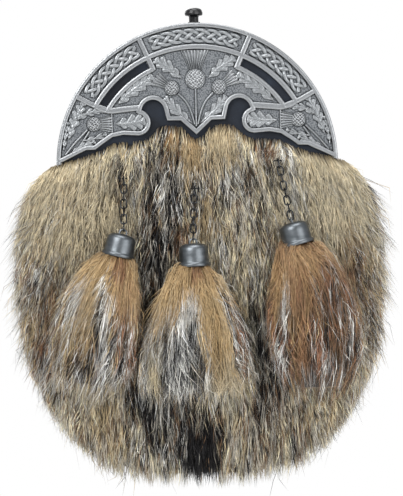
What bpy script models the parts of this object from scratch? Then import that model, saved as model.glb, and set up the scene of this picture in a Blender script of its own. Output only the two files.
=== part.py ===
# A full-dress sporran: a cast pewter cantle on a hollow leather pouch, a long-haired fur front,
# and three fur tassels that hang from it in metal caps on short chains.
#
# Sizes are in millimetres.  They are measured from the centre of the cantle's round edge, with
# x to the right as seen from the front, y towards the back and z up.  add_solid() moves them to
# the part's own origin, midway between the belt loops on the back, and scales them to metres.
# A plan is a list of (x, z) points: the cantle and the leather board are cut to plans.

import math
import random

import bmesh
import bpy
import numpy as np
from mathutils import Vector, geometry
from mathutils.bvhtree import BVHTree

MM = 0.001
GAP = 0.3  # clearance between neighbouring solids
CENTRE_HEIGHT = -32.0  # height of the cantle's centre above the part's origin

# Depth of each layer, from the flat leather back at y = 0 to the front
LEATHER = 2.0
FRAME_BACK = -LEATHER - GAP
FRAME_FRONT = -20.0
BACKING_BACK = FRAME_FRONT - GAP
BACKING_FRONT = BACKING_BACK - LEATHER
CANTLE_BACK = BACKING_FRONT - GAP

# Cantle, plan radii about its centre
CANTLE_RADIUS = 77.3
RIM_INNER = 75.0
BAND_INNER = 65.6  # the plaited band lies between this radius and the outer rim
CENTRE_TOP = 63.2  # upper edge of the central field
SLOT_OUTER = 62.7
SLOT_INNER = 58.5
SLOT_RIM = 55.8
LOWER_RIM = 2.5  # width of the rim along the lower edge

# Cantle, angles from straight up, in degrees
TOP_PANEL_END = 22.2
SIDE_PANEL = (24.6, 58.3)
SLOT_SPAN = (25.5, 57.2)
CORNER_START = 60.9
TIP_ANGLE = 89.2

# Cantle, heights of the casting above its flat back
GROUND = 1.5
STRAND_TOP = 2.4
STEM_TOP = 2.2
LEAF_EDGE = 2.1
LEAF_RIDGE = 2.9
CROWN_TOP = 2.5
BULB_EDGE = 2.5
BULB_RISE = 1.1
RIM_TOP = 3.0

STRAND_WIDTH = 1.7
STRAND_SWING = 3.55  # how far a strand swings either side of the band's middle

# Right half of the cantle's lower edge, from the middle to the tip
ARCH = {"centre": (23.65, 29.2), "radius": 6.2, "start": 163.0, "end": 16.0, "steps": 6}
LOBE = {"centre": (32.2, 23.1), "radius": 7.2, "start": 108.0, "end": 266.0, "steps": 6}
EDGE_MIDDLE = [(0.0, 15.7), (8.5, 23.7), (16.0, 23.8)]
EDGE_SHOULDER = [(40.3, 16.5), (46.2, 15.4), (51.4, 11.9), (55.7, 8.7), (60.9, 8.6)]
EDGE_TIP = (76.4, 1.2)

# Thistles on the right half: bulb centre and radius, the crown's direction in degrees
# anticlockwise from +x, its start and end from the bulb's centre, and its half widths there
THISTLES = [
    {"bulb": (12.95, 41.6), "radius": 4.2, "aim": 32.0, "crown": (3.6, 10.5), "half": (2.4, 5.0)},
    {"bulb": (56.2, 22.8), "radius": 4.1, "aim": 180.0, "crown": (3.4, 9.4), "half": (3.4, 4.7)},
]
CENTRE_THISTLE = {
    "bulb": (0.0, 46.3), "radius": 5.7, "aim": 90.0, "crown": (4.9, 15.2), "half": (3.6, 7.6),
}

# Leaves on the right half: root, tip, half width and number of teeth a side
LEAVES = [
    {"root": (6.8, 48.1), "tip": (20.4, 56.4), "half": 3.1, "teeth": 3},
    {"root": (2.8, 22.6), "tip": (15.6, 35.8), "half": 2.7, "teeth": 3},
    {"root": (42.2, 33.4), "tip": (24.6, 46.9), "half": 2.9, "teeth": 3},
    {"root": (43.8, 22.6), "tip": (30.0, 24.4), "half": 4.1, "teeth": 3},
    {"root": (70.6, 14.5), "tip": (58.6, 31.6), "half": 3.0, "teeth": 3},
    {"root": (70.0, 7.3), "tip": (57.0, 13.6), "half": 2.0, "teeth": 2},
]

# Stems on the right half, each a list of points along its middle
STEMS = [[(1.2, 22.5), (3.4, 30.0), (8.6, 38.0)], [(72.4, 6.9), (67.4, 12.0), (60.2, 19.6)]]
CENTRE_STEM = [(0.0, 21.2), (0.0, 40.9)]
STEM_WIDTH = 1.3

# Purse frame and catch
FRAME_RADIUS = 73.0
FRAME_THICKNESS = 3.0
FRAME_SEGMENTS = 28
CATCH_DEPTH = -11.0
CATCH_SIDES = 14
COLLAR = {"bore": 3.0, "radius": 3.5, "foot": 4.6, "top": 78.2}
KNOB = {"stem": 2.6, "head": 4.9, "stem_bottom": 76.3, "head_bottom": 81.8, "top": 86.1}

# Leather board behind the cantle
BACKING_RADIUS = 74.6
BACKING_BOTTOM = -5.0

# Pouch: a row for each section, from the mouth down
POUCH = [
    {"z": -0.5, "half_width": 73.0, "depth": 19.9},
    {"z": -14.0, "half_width": 75.5, "depth": 20.0},
    {"z": -32.0, "half_width": 79.0, "depth": 28.0},
    {"z": -60.0, "half_width": 81.0, "depth": 33.0},
    {"z": -90.0, "half_width": 79.0, "depth": 34.0},
    {"z": -115.0, "half_width": 70.0, "depth": 31.0},
    {"z": -132.0, "half_width": 54.0, "depth": 25.0},
    {"z": -141.0, "half_width": 34.0, "depth": 17.0},
]
# One half of a section as fractions of its half width and depth, from the back corner round
SECTION_SHAPE = [(1.0, 0.0), (1.0, 0.3), (0.97, 0.62), (0.85, 0.85), (0.6, 0.97), (0.3, 1.0)]

# Belt loops on the back: middle line of the strap seen from the side, as (y, z)
BELT_LOOP_X = 34.0
BELT_LOOP_WIDTH = 18.0
BELT_LOOP_PATH = [(1.3, 53.0), (1.3, 44.0), (7.3, 40.0), (7.3, 24.0), (1.3, 20.0), (1.3, 11.0)]

# Fur front: its upper edge on the right half, and its outline
FUR_TOP = {
    "x": [0.0, 2.5, 8.0, 14.0, 20.0, 24.5, 29.0, 46.0, 51.0, 59.0, 67.0, 76.0, 81.0],
    "z": [12.0, 12.4, 18.0, 19.2, 18.8, 14.6, 11.4, 10.2, 7.2, 4.4, 2.2, 0.2, -1.6],
}
FUR_SIDE = {
    "z": [-1.6, -7.0, -18.0, -29.0, -45.0, -78.0, -100.0, -111.0, -122.0, -131.0],
    "half_width": [81.0, 87.0, 94.0, 98.0, 100.5, 100.0, 97.0, 94.0, 89.0, 83.5],
}
FUR_BOTTOM = {
    "x": [0.0, 25.0, 50.0, 58.0, 72.0, 78.0, 83.5],
    "z": [-174.0, -173.0, -167.0, -162.0, -151.0, -142.0, -131.0],
}
# Depth of the fur's smooth form down its length: of its side edge, and of its dome past that
FUR_DEPTH = {
    "down": [0.0, 0.08, 0.2, 0.35, 0.55, 0.75, 0.9, 1.0],
    "edge": [22.9, 18.0, 11.0, 8.0, 8.0, 8.0, 8.0, 8.0],
    "dome": [1.4, 8.5, 22.0, 31.0, 36.0, 36.0, 29.0, 16.0],
}
FUR_COLUMNS = 36
FUR_ROWS = 8
FUR_LOCK = {"rise": 4.2, "reach": 0.034, "tuck": 0.02, "wander": 0.016}

# Tassels: where each staple, cap and section of fur lies.  A section's row holds its height, its
# middle, and its half width and half depth across the way that the tassel hangs.
TASSEL_COLUMNS = 16
TASSEL_ROWS = 5
TASSEL_LOCK = {"rise": 2.6, "reach": 0.045, "tuck": 0.02, "wander": 0.02}
TASSELS = {
    "left": {
        "anchor": (-40.4, -7.5), "cap_top": (-41.4, -37.9), "cap_rim": (-44.6, -50.2), "links": 7,
        "sections": [(-65, -49.0, 13, 9), (-77, -52.3, 17.5, 10.5), (-91, -55.1, 19, 11),
                     (-105, -57.4, 17, 10.5), (-117, -58.7, 12, 8.5), (-128, -59.9, 4, 3.5)],
    },
    "middle": {
        "anchor": (-1.9, -14.0), "cap_top": (-3.2, -43.9), "cap_rim": (-2.9, -56.7), "links": 7,
        "sections": [(-70, -3.1, 13.5, 9), (-82, -3.1, 19, 10.5), (-96, -3.2, 23, 11),
                     (-110, -3.3, 25.5, 11), (-123, -3.3, 21, 9), (-133, -3.0, 9, 4)],
    },
    "right": {
        "anchor": (44.3, 0.2), "cap_top": (50.9, -33.8), "cap_rim": (54.0, -46.0), "links": 8,
        "sections": [(-59, 57.2, 14, 9), (-72, 59.9, 19, 10.5), (-87, 61.5, 21.5, 11),
                     (-104, 62.2, 20.5, 10.5), (-120, 62.8, 14, 8.5), (-136, 62.9, 3.5, 3.5)],
    },
}

# Metal cap of a tassel, turned about its axis: radius and distance below its top
CAP_OUTSIDE = [(0.0, 0.0), (4.6, 0.9), (7.2, 4.0), (7.5, 10.2), (8.2, 11.0), (8.1, 12.8)]
CAP_INSIDE = [(7.0, 12.8), (6.6, 4.4), (0.0, 1.7)]
CAP_SIDES = 12
CAP_NECK = 5.8  # radius of the tassel's head inside the cap
HEAD_SPAN = (0.62, 1.02)  # where that head starts and ends, as shares of the way to the rim

# Chain wire and loops
LINK_WIRE = 0.86
LINK_WIDTH = 4.0
LINK_GAP = 0.22
LINK_SIDES = 10
WIRE_SIDES = 5
LOOP_WIRE = 0.95
LOOP_HALF = 1.9  # half the width of a loop, at the middle of its wire
ANCHOR = {"radius": 3.2, "thickness": 1.0, "loop": 3.9}
CAP_LOOP_HEIGHT = 2.4

# Finishes: base colour (linear), roughness and metallic value
FINISHES = {
    "antiqued_pewter": ((0.25, 0.26, 0.27), 0.36, 1.0),
    "black_leather": ((0.014, 0.016, 0.022), 0.5, 0.0),
    "blued_steel": ((0.10, 0.10, 0.11), 0.38, 1.0),
    "black_enamel": ((0.012, 0.012, 0.013), 0.34, 0.0),
    "gunmetal": ((0.17, 0.17, 0.17), 0.3, 1.0),
    "grizzled_fur": ((0.31, 0.25, 0.17), 0.85, 0.0),
    "tawny_fur": ((0.38, 0.24, 0.12), 0.85, 0.0),
}


# ---- plans -----------------------------------------------------------------------------------

def on_circle(radius, degrees):
    """Point at a radius about the cantle's centre, at an angle clockwise from straight up."""
    turn = math.radians(degrees)
    return (radius * math.sin(turn), radius * math.cos(turn))


def rim_arc(radius, start, end, step=5.0):
    """Points along an arc about the cantle's centre, about one every step degrees."""
    count = max(1, round(abs(end - start) / step))
    return [on_circle(radius, start + (end - start) * i / count) for i in range(count + 1)]


def band(inner, outer, start, end):
    """Plan of a piece of a ring about the cantle's centre."""
    return rim_arc(outer, start, end) + rim_arc(inner, end, start)


def bend(spec):
    """Points along the arc of a spec with a centre, radius, start, end and number of steps."""
    turns = [spec["start"] + (spec["end"] - spec["start"]) * i / spec["steps"]
             for i in range(spec["steps"] + 1)]
    x, z = spec["centre"]
    return [(x + spec["radius"] * math.cos(math.radians(turn)),
             z + spec["radius"] * math.sin(math.radians(turn))) for turn in turns]


def flipped(points):
    """The same points on the left half, in reverse order."""
    return [(-x, z) for x, z in reversed(points)]


def offset(points, distance):
    """An open line moved to its left by a distance, mitred at its corners."""
    line = np.array(points, float)
    along = np.diff(line, axis=0)
    along /= np.linalg.norm(along, axis=1)[:, None]
    left = np.column_stack([-along[:, 1], along[:, 0]])
    before = np.vstack([left[:1], left])
    after = np.vstack([left, left[-1:]])
    corner = before + after
    corner /= np.sum(corner * before, axis=1)[:, None]
    return [tuple(point) for point in line + corner * distance]


def ribbon(points, width):
    """Plan of a strip of even width along a line."""
    return offset(points, width / 2) + offset(points, -width / 2)[::-1]


def turned_plan(points, origin, degrees):
    """Points given along and across a direction, placed at an origin."""
    turn = math.radians(degrees)
    cos, sin = math.cos(turn), math.sin(turn)
    return [(origin[0] + a * cos - b * sin, origin[1] + a * sin + b * cos) for a, b in points]


def lower_edge():
    """Right half of the cantle's lower edge, from the middle to the tip."""
    return EDGE_MIDDLE + bend(ARCH) + bend(LOBE) + EDGE_SHOULDER + [EDGE_TIP]


def cantle_outline():
    """Whole outline of the cantle: its lower edge from left to right, then back over the top."""
    half = lower_edge()
    return flipped(half)[:-1] + half + rim_arc(CANTLE_RADIUS, TIP_ANGLE, -TIP_ANGLE, 4.5)


def central_field():
    """Plan of the sunk field that holds the three middle thistles and their leaves."""
    middle = offset(EDGE_MIDDLE + bend(ARCH), LOWER_RIM)[:-1]
    right = middle + [(32.6, 34.0), (43.6, 32.4)] + rim_arc(SLOT_RIM, 54.2, 26.0)
    right += [(22.4, 53.8)] + rim_arc(CENTRE_TOP, 22.4, 0.0)
    return flipped(right)[1:-1] + right


def corner_field():
    """Plan of the sunk field in the right corner, from the round lobe out to the tip."""
    lower = offset(bend(LOBE) + EDGE_SHOULDER + [EDGE_TIP], LOWER_RIM)[1:-1]
    upper = rim_arc(RIM_INNER, 86.4, CORNER_START) + [(50.4, 28.2), (40.4, 28.6)]
    return lower + upper


def thistle(spec):
    """Plans of a thistle's toothed crown and of its round bulb, with the bulb's inner ring."""
    (start, end), (narrow, wide) = spec["crown"], spec["half"]
    teeth = [(end - 0.8 * (i % 2), wide * (1 - i / 2)) for i in range(5)]
    fan = [(start, narrow)] + teeth + [(start, -narrow)]
    crown = turned_plan(fan, spec["bulb"], spec["aim"])
    rings = []
    for radius, sides in ((spec["radius"], 10), (spec["radius"] * 0.55, 5)):
        circle = [(radius * math.cos(math.tau * i / sides), radius * math.sin(math.tau * i / sides))
                  for i in range(sides)]
        rings.append(turned_plan(circle, spec["bulb"], spec["aim"]))
    return crown, rings[0], rings[1]


def leaf(spec):
    """Plan of a toothed leaf, and the line of its midrib."""
    root, tip = np.array(spec["root"]), np.array(spec["tip"])
    length = float(np.linalg.norm(tip - root))
    degrees = math.degrees(math.atan2(*(tip - root)[::-1]))
    side = [(0.0, 0.5)]
    for i in range(spec["teeth"]):
        start = (i + 0.25) / spec["teeth"]
        fullness = math.sin(math.pi * (0.28 + 0.5 * start))
        side.append((length * (start + 0.36 / spec["teeth"]), spec["half"] * fullness))
        side.append((length * (start + 0.5 / spec["teeth"]), spec["half"] * 0.45 * fullness))
    outline = side + [(length, 0.0)] + [(a, -b) for a, b in reversed(side)]
    rib = turned_plan([(length * 0.12, 0.0), (length * 0.82, 0.0)], spec["root"], degrees)
    return turned_plan(outline, spec["root"], degrees), rib


def plait(start, end, units):
    """Plans of the four strands that weave along the band, and meet in pairs at its ends."""
    middle = (BAND_INNER + RIM_INNER) / 2
    margin = math.degrees(STRAND_WIDTH / middle)
    start, end = start + margin, end - margin
    strands = []
    for strand in range(4):
        points = []
        for i in range(2 * units + 1):
            wave = math.radians(45 + 90 * strand + 45 * i)
            radius = middle + STRAND_SWING * math.sin(wave)
            points.append(on_circle(radius, start + (end - start) * i / (2 * units)))
        strands.append(ribbon(points, STRAND_WIDTH))
    return strands


# ---- solids ----------------------------------------------------------------------------------

def clear_scene():
    for thing in list(bpy.data.objects):
        bpy.data.objects.remove(thing, do_unlink=True)


def finish(name):
    """The Principled material of a named finish."""
    if name in bpy.data.materials:
        return bpy.data.materials[name]
    colour, roughness, metallic = FINISHES[name]
    material = bpy.data.materials.new(name)
    material.use_nodes = True
    shader = material.node_tree.nodes["Principled BSDF"]
    shader.inputs["Base Color"].default_value = (*colour, 1.0)
    shader.inputs["Roughness"].default_value = roughness
    shader.inputs["Metallic"].default_value = metallic
    return material


def add_solid(name, points, faces, finish_name, centre=(0.0, 0.0, 0.0)):
    """One closed solid from points in millimetres, with its object's origin at a centre."""
    mesh = bpy.data.meshes.new(name)
    local = [[(p - c) * MM for p, c in zip(point, centre)] for point in points]
    mesh.from_pydata(local, [], faces)
    shell = bmesh.new()
    shell.from_mesh(mesh)
    bmesh.ops.recalc_face_normals(shell, faces=shell.faces[:])
    shell.to_mesh(mesh)
    shell.free()
    mesh.shade_smooth()
    mesh.set_sharp_from_angle(angle=math.radians(35))
    mesh.materials.append(finish(finish_name))
    solid = bpy.data.objects.new(name, mesh)
    solid.location = [centre[0] * MM, centre[1] * MM, (centre[2] + CENTRE_HEIGHT) * MM]
    bpy.context.collection.objects.link(solid)
    return solid


def weld(solid, other):
    """Unite another solid with this one, which then stays as a hidden guide."""
    other.hide_render = True
    other.display_type = "WIRE"
    other.hide_set(True)
    union = solid.modifiers.new("weld_" + other.name, "BOOLEAN")
    union.operation = "UNION"
    union.object = other


def grid_faces(lines, closed):
    """Quads between neighbouring lines of points, all of the same length."""
    faces = []
    for a, b in zip(lines, lines[1:]):
        last = len(a) if closed else len(a) - 1
        for i in range(last):
            j = (i + 1) % len(a)
            faces.append((a[i], a[j], b[j], b[i]))
    return faces


def zip_faces(points, a, b):
    """Triangles between two lines of point numbers that run the same way."""
    faces = []
    i = j = 0
    while i < len(a) - 1 or j < len(b) - 1:
        step_a = step_b = math.inf
        if i < len(a) - 1:
            step_a = (Vector(points[a[i + 1]]) - Vector(points[b[j]])).length
        if j < len(b) - 1:
            step_b = (Vector(points[b[j + 1]]) - Vector(points[a[i]])).length
        if step_a <= step_b:
            faces.append((a[i], a[i + 1], b[j]))
            i += 1
        else:
            faces.append((a[i], b[j + 1], b[j]))
            j += 1
    return [face for face in faces if len(set(face)) == 3]


class Shell:
    """Points and faces of a solid while it is put together."""

    def __init__(self):
        self.points = []
        self.faces = []

    def line(self, points):
        """Add points and give their numbers."""
        first = len(self.points)
        self.points += [tuple(float(v) for v in point) for point in points]
        return list(range(first, len(self.points)))


def extruded(name, plan, back, front, finish_name):
    """A flat plate with a plan in x and z, between two depths."""
    count = len(plan)
    points = [(x, back, z) for x, z in plan] + [(x, front, z) for x, z in plan]
    faces = [tuple(range(count)), tuple(range(2 * count - 1, count - 1, -1))]
    faces += [(i, (i + 1) % count, count + (i + 1) % count, count + i) for i in range(count)]
    return add_solid(name, points, faces, finish_name)


def turned(shell, profile, sides, place):
    """Turn an open profile of (radius, along) that starts and ends on its axis, or a ring."""
    lines = []
    for radius, along in profile:
        turns = [math.tau * i / sides for i in range(sides if radius > 0 else 1)]
        lines.append(shell.line(place(radius * math.cos(turn), radius * math.sin(turn), along)
                                for turn in turns))
    if profile[0][0] > 0:
        lines.append(lines[0])
    for a, b in zip(lines, lines[1:]):
        for i in range(sides):
            j = (i + 1) % sides
            quad = (a[i % len(a)], a[j % len(a)], b[j % len(b)], b[i % len(b)])
            shell.faces.append(tuple(dict.fromkeys(quad)))
    return lines


def wire_loop(shell, middle, across, radius, sides, closed):
    """A round wire along middle points, with a vector across its plane at every point."""
    lines = []
    count = len(middle)
    turns = [math.tau * k / sides for k in range(sides)]
    for i, point in enumerate(middle):
        if closed:
            ahead = middle[(i + 1) % count] - middle[i - 1]
        else:
            ahead = middle[min(i + 1, count - 1)] - middle[max(i - 1, 0)]
        out = ahead.cross(across).normalized()
        lines.append(shell.line(point + radius * (out * math.cos(turn) + across * math.sin(turn))
                                for turn in turns))
    shell.faces += grid_faces(lines + lines[:1] if closed else lines, True)
    if not closed:
        shell.faces += [tuple(lines[0]), tuple(reversed(lines[-1]))]


# ---- cantle ----------------------------------------------------------------------------------

def inside(plan, points):
    """Which of the points lie inside a plan."""
    x, z = points[:, 0], points[:, 1]
    hit = np.zeros(len(points), bool)
    for (x0, z0), (x1, z1) in zip(plan, plan[1:] + plan[:1]):
        crosses = (z0 > z) != (z1 > z)
        if z0 != z1:
            hit ^= crosses & (x < (x1 - x0) * (z - z0) / (z1 - z0) + x0)
    return hit


def triangulate(points, edges):
    """Triangles over the points that keep all the edges, with new points where edges cross."""
    result = geometry.delaunay_2d_cdt([Vector(point) for point in points], edges, [], 0, 1e-4)
    return np.array([tuple(point) for point in result[0]]), [tuple(face) for face in result[2]]


def relief_layers():
    """Plans with their height functions, lowest first, and the creases inside them."""
    def flat(height):
        return lambda point: height

    field, strands, stem, crown = flat(GROUND), flat(STRAND_TOP), flat(STEM_TOP), flat(CROWN_TOP)
    layers = [(cantle_outline(), flat(RIM_TOP)), (central_field(), field)]
    creases = []
    for side in (1, -1):
        def on_side(points, side=side):
            return [(side * x, z) for x, z in points]

        layers.append((on_side(corner_field()), field))
        layers.append((on_side(band(BAND_INNER, RIM_INNER, *SIDE_PANEL)), field))
        layers += [(on_side(strand), strands) for strand in plait(*SIDE_PANEL, units=6)]
        layers += [(on_side(ribbon(line, STEM_WIDTH)), stem) for line in STEMS]
        for spec in LEAVES:
            outline, rib = (on_side(part) for part in leaf(spec))

            def ridged(point, rib=rib, half=spec["half"]):
                start, along = Vector(rib[0]), Vector(rib[1]) - Vector(rib[0])
                foot = max(0.0, min(1.0, (Vector(point) - start).dot(along) / along.length_squared))
                away = (Vector(point) - start - along * foot).length
                return LEAF_EDGE + (LEAF_RIDGE - LEAF_EDGE) * max(0.0, 1 - away / (0.4 * half))

            layers.append((outline, ridged))
            creases.append(rib)
    layers.append((band(BAND_INNER, RIM_INNER, -TOP_PANEL_END, TOP_PANEL_END), field))
    layers += [(strand, strands) for strand in plait(-TOP_PANEL_END, TOP_PANEL_END, units=8)]
    layers.append((ribbon(CENTRE_STEM, STEM_WIDTH), stem))
    for side, spec in [(1, CENTRE_THISTLE)] + [(s, spec) for s in (1, -1) for spec in THISTLES]:
        plans = [[(side * x, z) for x, z in plan] for plan in thistle(spec)]

        def domed(point, middle=(side * spec["bulb"][0], spec["bulb"][1]), radius=spec["radius"]):
            away = (Vector(point) - Vector(middle)).length / radius
            return BULB_EDGE + BULB_RISE * max(0.0, 1 - away * away)

        layers += [(plans[0], crown), (plans[1], domed)]
        creases.append(plans[2] + plans[2][:1])
    return layers, creases


def make_cantle():
    """The casting: a level for every triangle of its plan, and a wall wherever levels meet."""
    layers, creases = relief_layers()
    slots = [band(SLOT_INNER, SLOT_OUTER, *(side * a for a in SLOT_SPAN)) for side in (1, -1)]

    def layer_of(points, triangles):
        middles = points[np.array(triangles)].mean(axis=1)
        found = np.full(len(triangles), -1)
        for number, (plan, _) in enumerate(layers):
            found[inside(plan, middles)] = number
        for slot in slots:
            found[inside(slot, middles)] = -1
        shared = {}
        for number, (_, height) in enumerate(layers):
            shared.setdefault(id(height), number)
        return [-1 if n < 0 else shared[id(layers[n][1])] for n in found]

    def edges_between(triangles, levels):
        sides = {}
        for triangle, level in zip(triangles, levels):
            for a, b in zip(triangle, triangle[1:] + triangle[:1]):
                sides.setdefault((min(a, b), max(a, b)), []).append(level)
        return {edge: (found + [-1])[:2] for edge, found in sides.items()}

    # First pass: cross all the plans.  Second pass: keep only the edges where the level changes.
    points, edges = [], []
    for plan in [plan for plan, _ in layers] + slots:
        first = len(points)
        points += plan
        edges += [(first + i, first + (i + 1) % len(plan)) for i in range(len(plan))]
    corners, triangles = triangulate(points, edges)
    meeting = edges_between(triangles, layer_of(corners, triangles))
    edges = [edge for edge, (a, b) in meeting.items() if a != b]
    used = sorted({end for edge in edges for end in edge})
    renumber = {old: new for new, old in enumerate(used)}
    points = [tuple(corners[old]) for old in used]
    edges = [(renumber[a], renumber[b]) for a, b in edges]
    for crease in creases:
        first = len(points)
        points += crease
        edges += [(first + i, first + i + 1) for i in range(len(crease) - 1)]
    corners, triangles = triangulate(points, edges)
    levels = layer_of(corners, triangles)

    shell = Shell()
    numbers = {}
    heights = [set() for _ in corners]

    def corner(index, height):
        key = (index, round(height, 3))
        if key not in numbers:
            x, z = corners[index]
            numbers[key] = shell.line([(x, CANTLE_BACK - key[1], z)])[0]
        return numbers[key]

    def top_of(index, level):
        return 0.0 if level < 0 else round(layers[level][1](tuple(corners[index])), 3)

    for triangle, level in zip(triangles, levels):
        if level >= 0:
            for index in triangle:
                heights[index].add(top_of(index, level))
            shell.faces.append(tuple(corner(index, top_of(index, level)) for index in triangle))

    edge_of_plate = []
    for (a, b), (one, two) in edges_between(triangles, levels).items():
        if one == two:
            continue
        if min(one, two) < 0:
            edge_of_plate.append((a, b))
        chains = []
        for index in (a, b):
            low, high = sorted((top_of(index, one), top_of(index, two)))
            between = sorted(h for h in heights[index] | {low} if low <= h <= high)
            chains.append([corner(index, h) for h in between])
        shell.faces += zip_faces(shell.points, *chains)

    # The flat back, over the outline and round the slots alone
    used = sorted({end for edge in edge_of_plate for end in edge})
    renumber = {old: new for new, old in enumerate(used)}
    back, triangles = triangulate([tuple(corners[old]) for old in used],
                                  [(renumber[a], renumber[b]) for a, b in edge_of_plate])
    for triangle, level in zip(triangles, layer_of(back, triangles)):
        if level >= 0:
            shell.faces.append(tuple(corner(used[index], 0.0) for index in reversed(triangle)))
    return add_solid("cantle", shell.points, shell.faces, "antiqued_pewter")


# ---- frame, catch and leather ----------------------------------------------------------------

def make_backing():
    """Leather board behind the cantle, seen through the slots and below the lower edge."""
    side = [(BACKING_RADIUS, BACKING_BOTTOM)]
    plan = rim_arc(BACKING_RADIUS, -90.0, 90.0, 7.5) + side + flipped(side)
    return extruded("cantle_backing", plan, BACKING_BACK, BACKING_FRONT, "black_leather")


def make_frame():
    """Half-round metal frame of the mouth, between the leather back and the leather board."""
    step = 180.0 / FRAME_SEGMENTS
    outer = rim_arc(FRAME_RADIUS, -90.0, 90.0, step)
    inner = rim_arc(FRAME_RADIUS - FRAME_THICKNESS, 90.0, -90.0, step)
    shell = Shell()
    lines = []
    for plan, depth in ((outer, FRAME_BACK), (outer, FRAME_FRONT),
                        (inner[::-1], FRAME_FRONT), (inner[::-1], FRAME_BACK)):
        lines.append(shell.line((x, depth, z) for x, z in plan))
    shell.faces += grid_faces(lines + lines[:1], False)
    shell.faces += [tuple(line[0] for line in lines), tuple(line[-1] for line in reversed(lines))]
    return add_solid("purse_frame", shell.points, shell.faces, "blued_steel")


def make_catch():
    """Push button of the catch, in the flared collar that stands on the frame."""
    bottom = FRAME_RADIUS + GAP

    def upright(x, y, along):
        return (x, CATCH_DEPTH + y, along)

    collar = Shell()
    turned(collar, [(COLLAR["bore"], bottom), (COLLAR["foot"], bottom),
                    (COLLAR["foot"], bottom + 1.2), (COLLAR["radius"], bottom + 2.2),
                    (COLLAR["radius"], COLLAR["top"]), (COLLAR["bore"], COLLAR["top"])],
           CATCH_SIDES, upright)
    add_solid("knob_collar", collar.points, collar.faces, "black_enamel")

    head, low, top = KNOB["head"], KNOB["head_bottom"], KNOB["top"]
    knob = Shell()
    turned(knob, [(0.0, KNOB["stem_bottom"]), (KNOB["stem"], KNOB["stem_bottom"]),
                  (KNOB["stem"], low - 0.6), (KNOB["stem"] + 0.6, low), (head - 0.5, low),
                  (head, low + 0.8), (head, low + 1.9), (head * 0.85, top - 1.0),
                  (head * 0.5, top - 0.2), (0.0, top)], CATCH_SIDES, upright)
    add_solid("knob", knob.points, knob.faces, "black_enamel", (0.0, CATCH_DEPTH, low))


def section(row, inset=0.0, whole=True):
    """Points of one section of the pouch from its left side round the front to its right."""
    half = row["half_width"] - inset
    near, far = -inset, -(row["depth"] - inset)
    right = [(half * a, near + (far - near) * b) for a, b in SECTION_SHAPE]
    front = [(-x, y) for x, y in right] + [(0.0, far)] + right[::-1]
    if not whole:
        front = front[1:-1]
    return front


def make_pouch():
    """Leather bag with its mouth open, whose back rises behind the frame as a half disc."""
    shell = Shell()
    outside, inside_lines = [], []
    for row in POUCH:
        outside.append(shell.line((x, y, row["z"]) for x, y in section(row)))
        level = row["z"] + (LEATHER if row is POUCH[-1] else 0.0)
        inside_lines.append(shell.line((x, y, level) for x, y in section(row, LEATHER)))
    mouth = POUCH[0]["half_width"]
    rise = rim_arc(1.0, -90.0, 90.0, 7.5)[1:-1]
    tops = []
    for radius, depth, lines in ((mouth, 0.0, outside), (mouth - LEATHER, -LEATHER, inside_lines)):
        dome = shell.line((x * radius, depth, POUCH[0]["z"] + z * radius) for x, z in rise)
        back = [line[0] for line in lines] + [line[-1] for line in reversed(lines)]
        shell.faces.append(tuple(back + dome[::-1]))
        shell.faces += grid_faces(lines, False)
        shell.faces.append(tuple(lines[-1]))
        tops.append([lines[0][0]] + dome + [lines[0][-1]])
    shell.faces += grid_faces(tops, False)
    shell.faces += grid_faces([outside[0], inside_lines[0]], False)
    return add_solid("pouch", shell.points, shell.faces, "black_leather")


def make_belt_loops():
    """Two plain leather loops on the back, for the strap."""
    profile = ribbon(BELT_LOOP_PATH, LEATHER)
    for name, middle in (("belt_loop_left", -BELT_LOOP_X), ("belt_loop_right", BELT_LOOP_X)):
        shell = Shell()
        lines = [shell.line((middle + side * BELT_LOOP_WIDTH / 2, y, z) for y, z in profile)
                 for side in (-1, 1)]
        shell.faces += grid_faces(lines, True) + [tuple(lines[0]), tuple(reversed(lines[1]))]
        add_solid(name, shell.points, shell.faces, "black_leather")


# ---- fur -------------------------------------------------------------------------------------

def lock_lines(shell, form, columns, rows, lock, seed, closed):
    """Rows of overlapping locks over a smooth form, as lines of points from its top to its tips.

    form(across, down) is the smooth form.  In each row every second column is the ridge of a
    lock, which stands out and reaches further down, and the columns between are the hollows.
    The next row starts tucked in under its tips, with its ridges below the hollows.
    """
    chance = random.Random(seed)

    def place(across, down, rise):
        near = [np.array(form(across + a, down + d)) for a, d in
                ((0.01, 0.0), (-0.01, 0.0), (0.0, 0.01), (0.0, -0.01))]
        out = np.cross(near[2] - near[3], near[0] - near[1])
        return np.array(form(across, down)) + rise * out / np.linalg.norm(out)

    count = columns if closed else columns + 1
    across = [-1.0 + 2.0 * i / columns for i in range(count)]
    root = [0.0] * count
    lines = []
    for row in range(rows):
        end = (row + 1) / rows
        tips = []
        for i in range(count):
            ridge = (i + row) % 2 == 0
            reach = lock["reach"] if ridge else -lock["reach"]
            tips.append(min(1.0, end + reach + chance.uniform(-1, 1) * lock["wander"]))
        stand = [chance.uniform(0.8, 1.15) if (i + row) % 2 == 0 else 0.35 for i in range(count)]
        lines.append([place(a, d, 0.0) for a, d in zip(across, root)])
        for share, full in ((0.45, 0.85), (1.0, 1.0)):
            lines.append([place(a, d + (tip - d) * share, lock["rise"] * full * out)
                          for a, d, tip, out in zip(across, root, tips, stand)])
        root = [tip - lock["tuck"] for tip in tips]
    return [shell.line(points) for points in lines]


def table(columns, key, value, at):
    return float(np.interp(at, columns[key], columns[value]))


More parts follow.
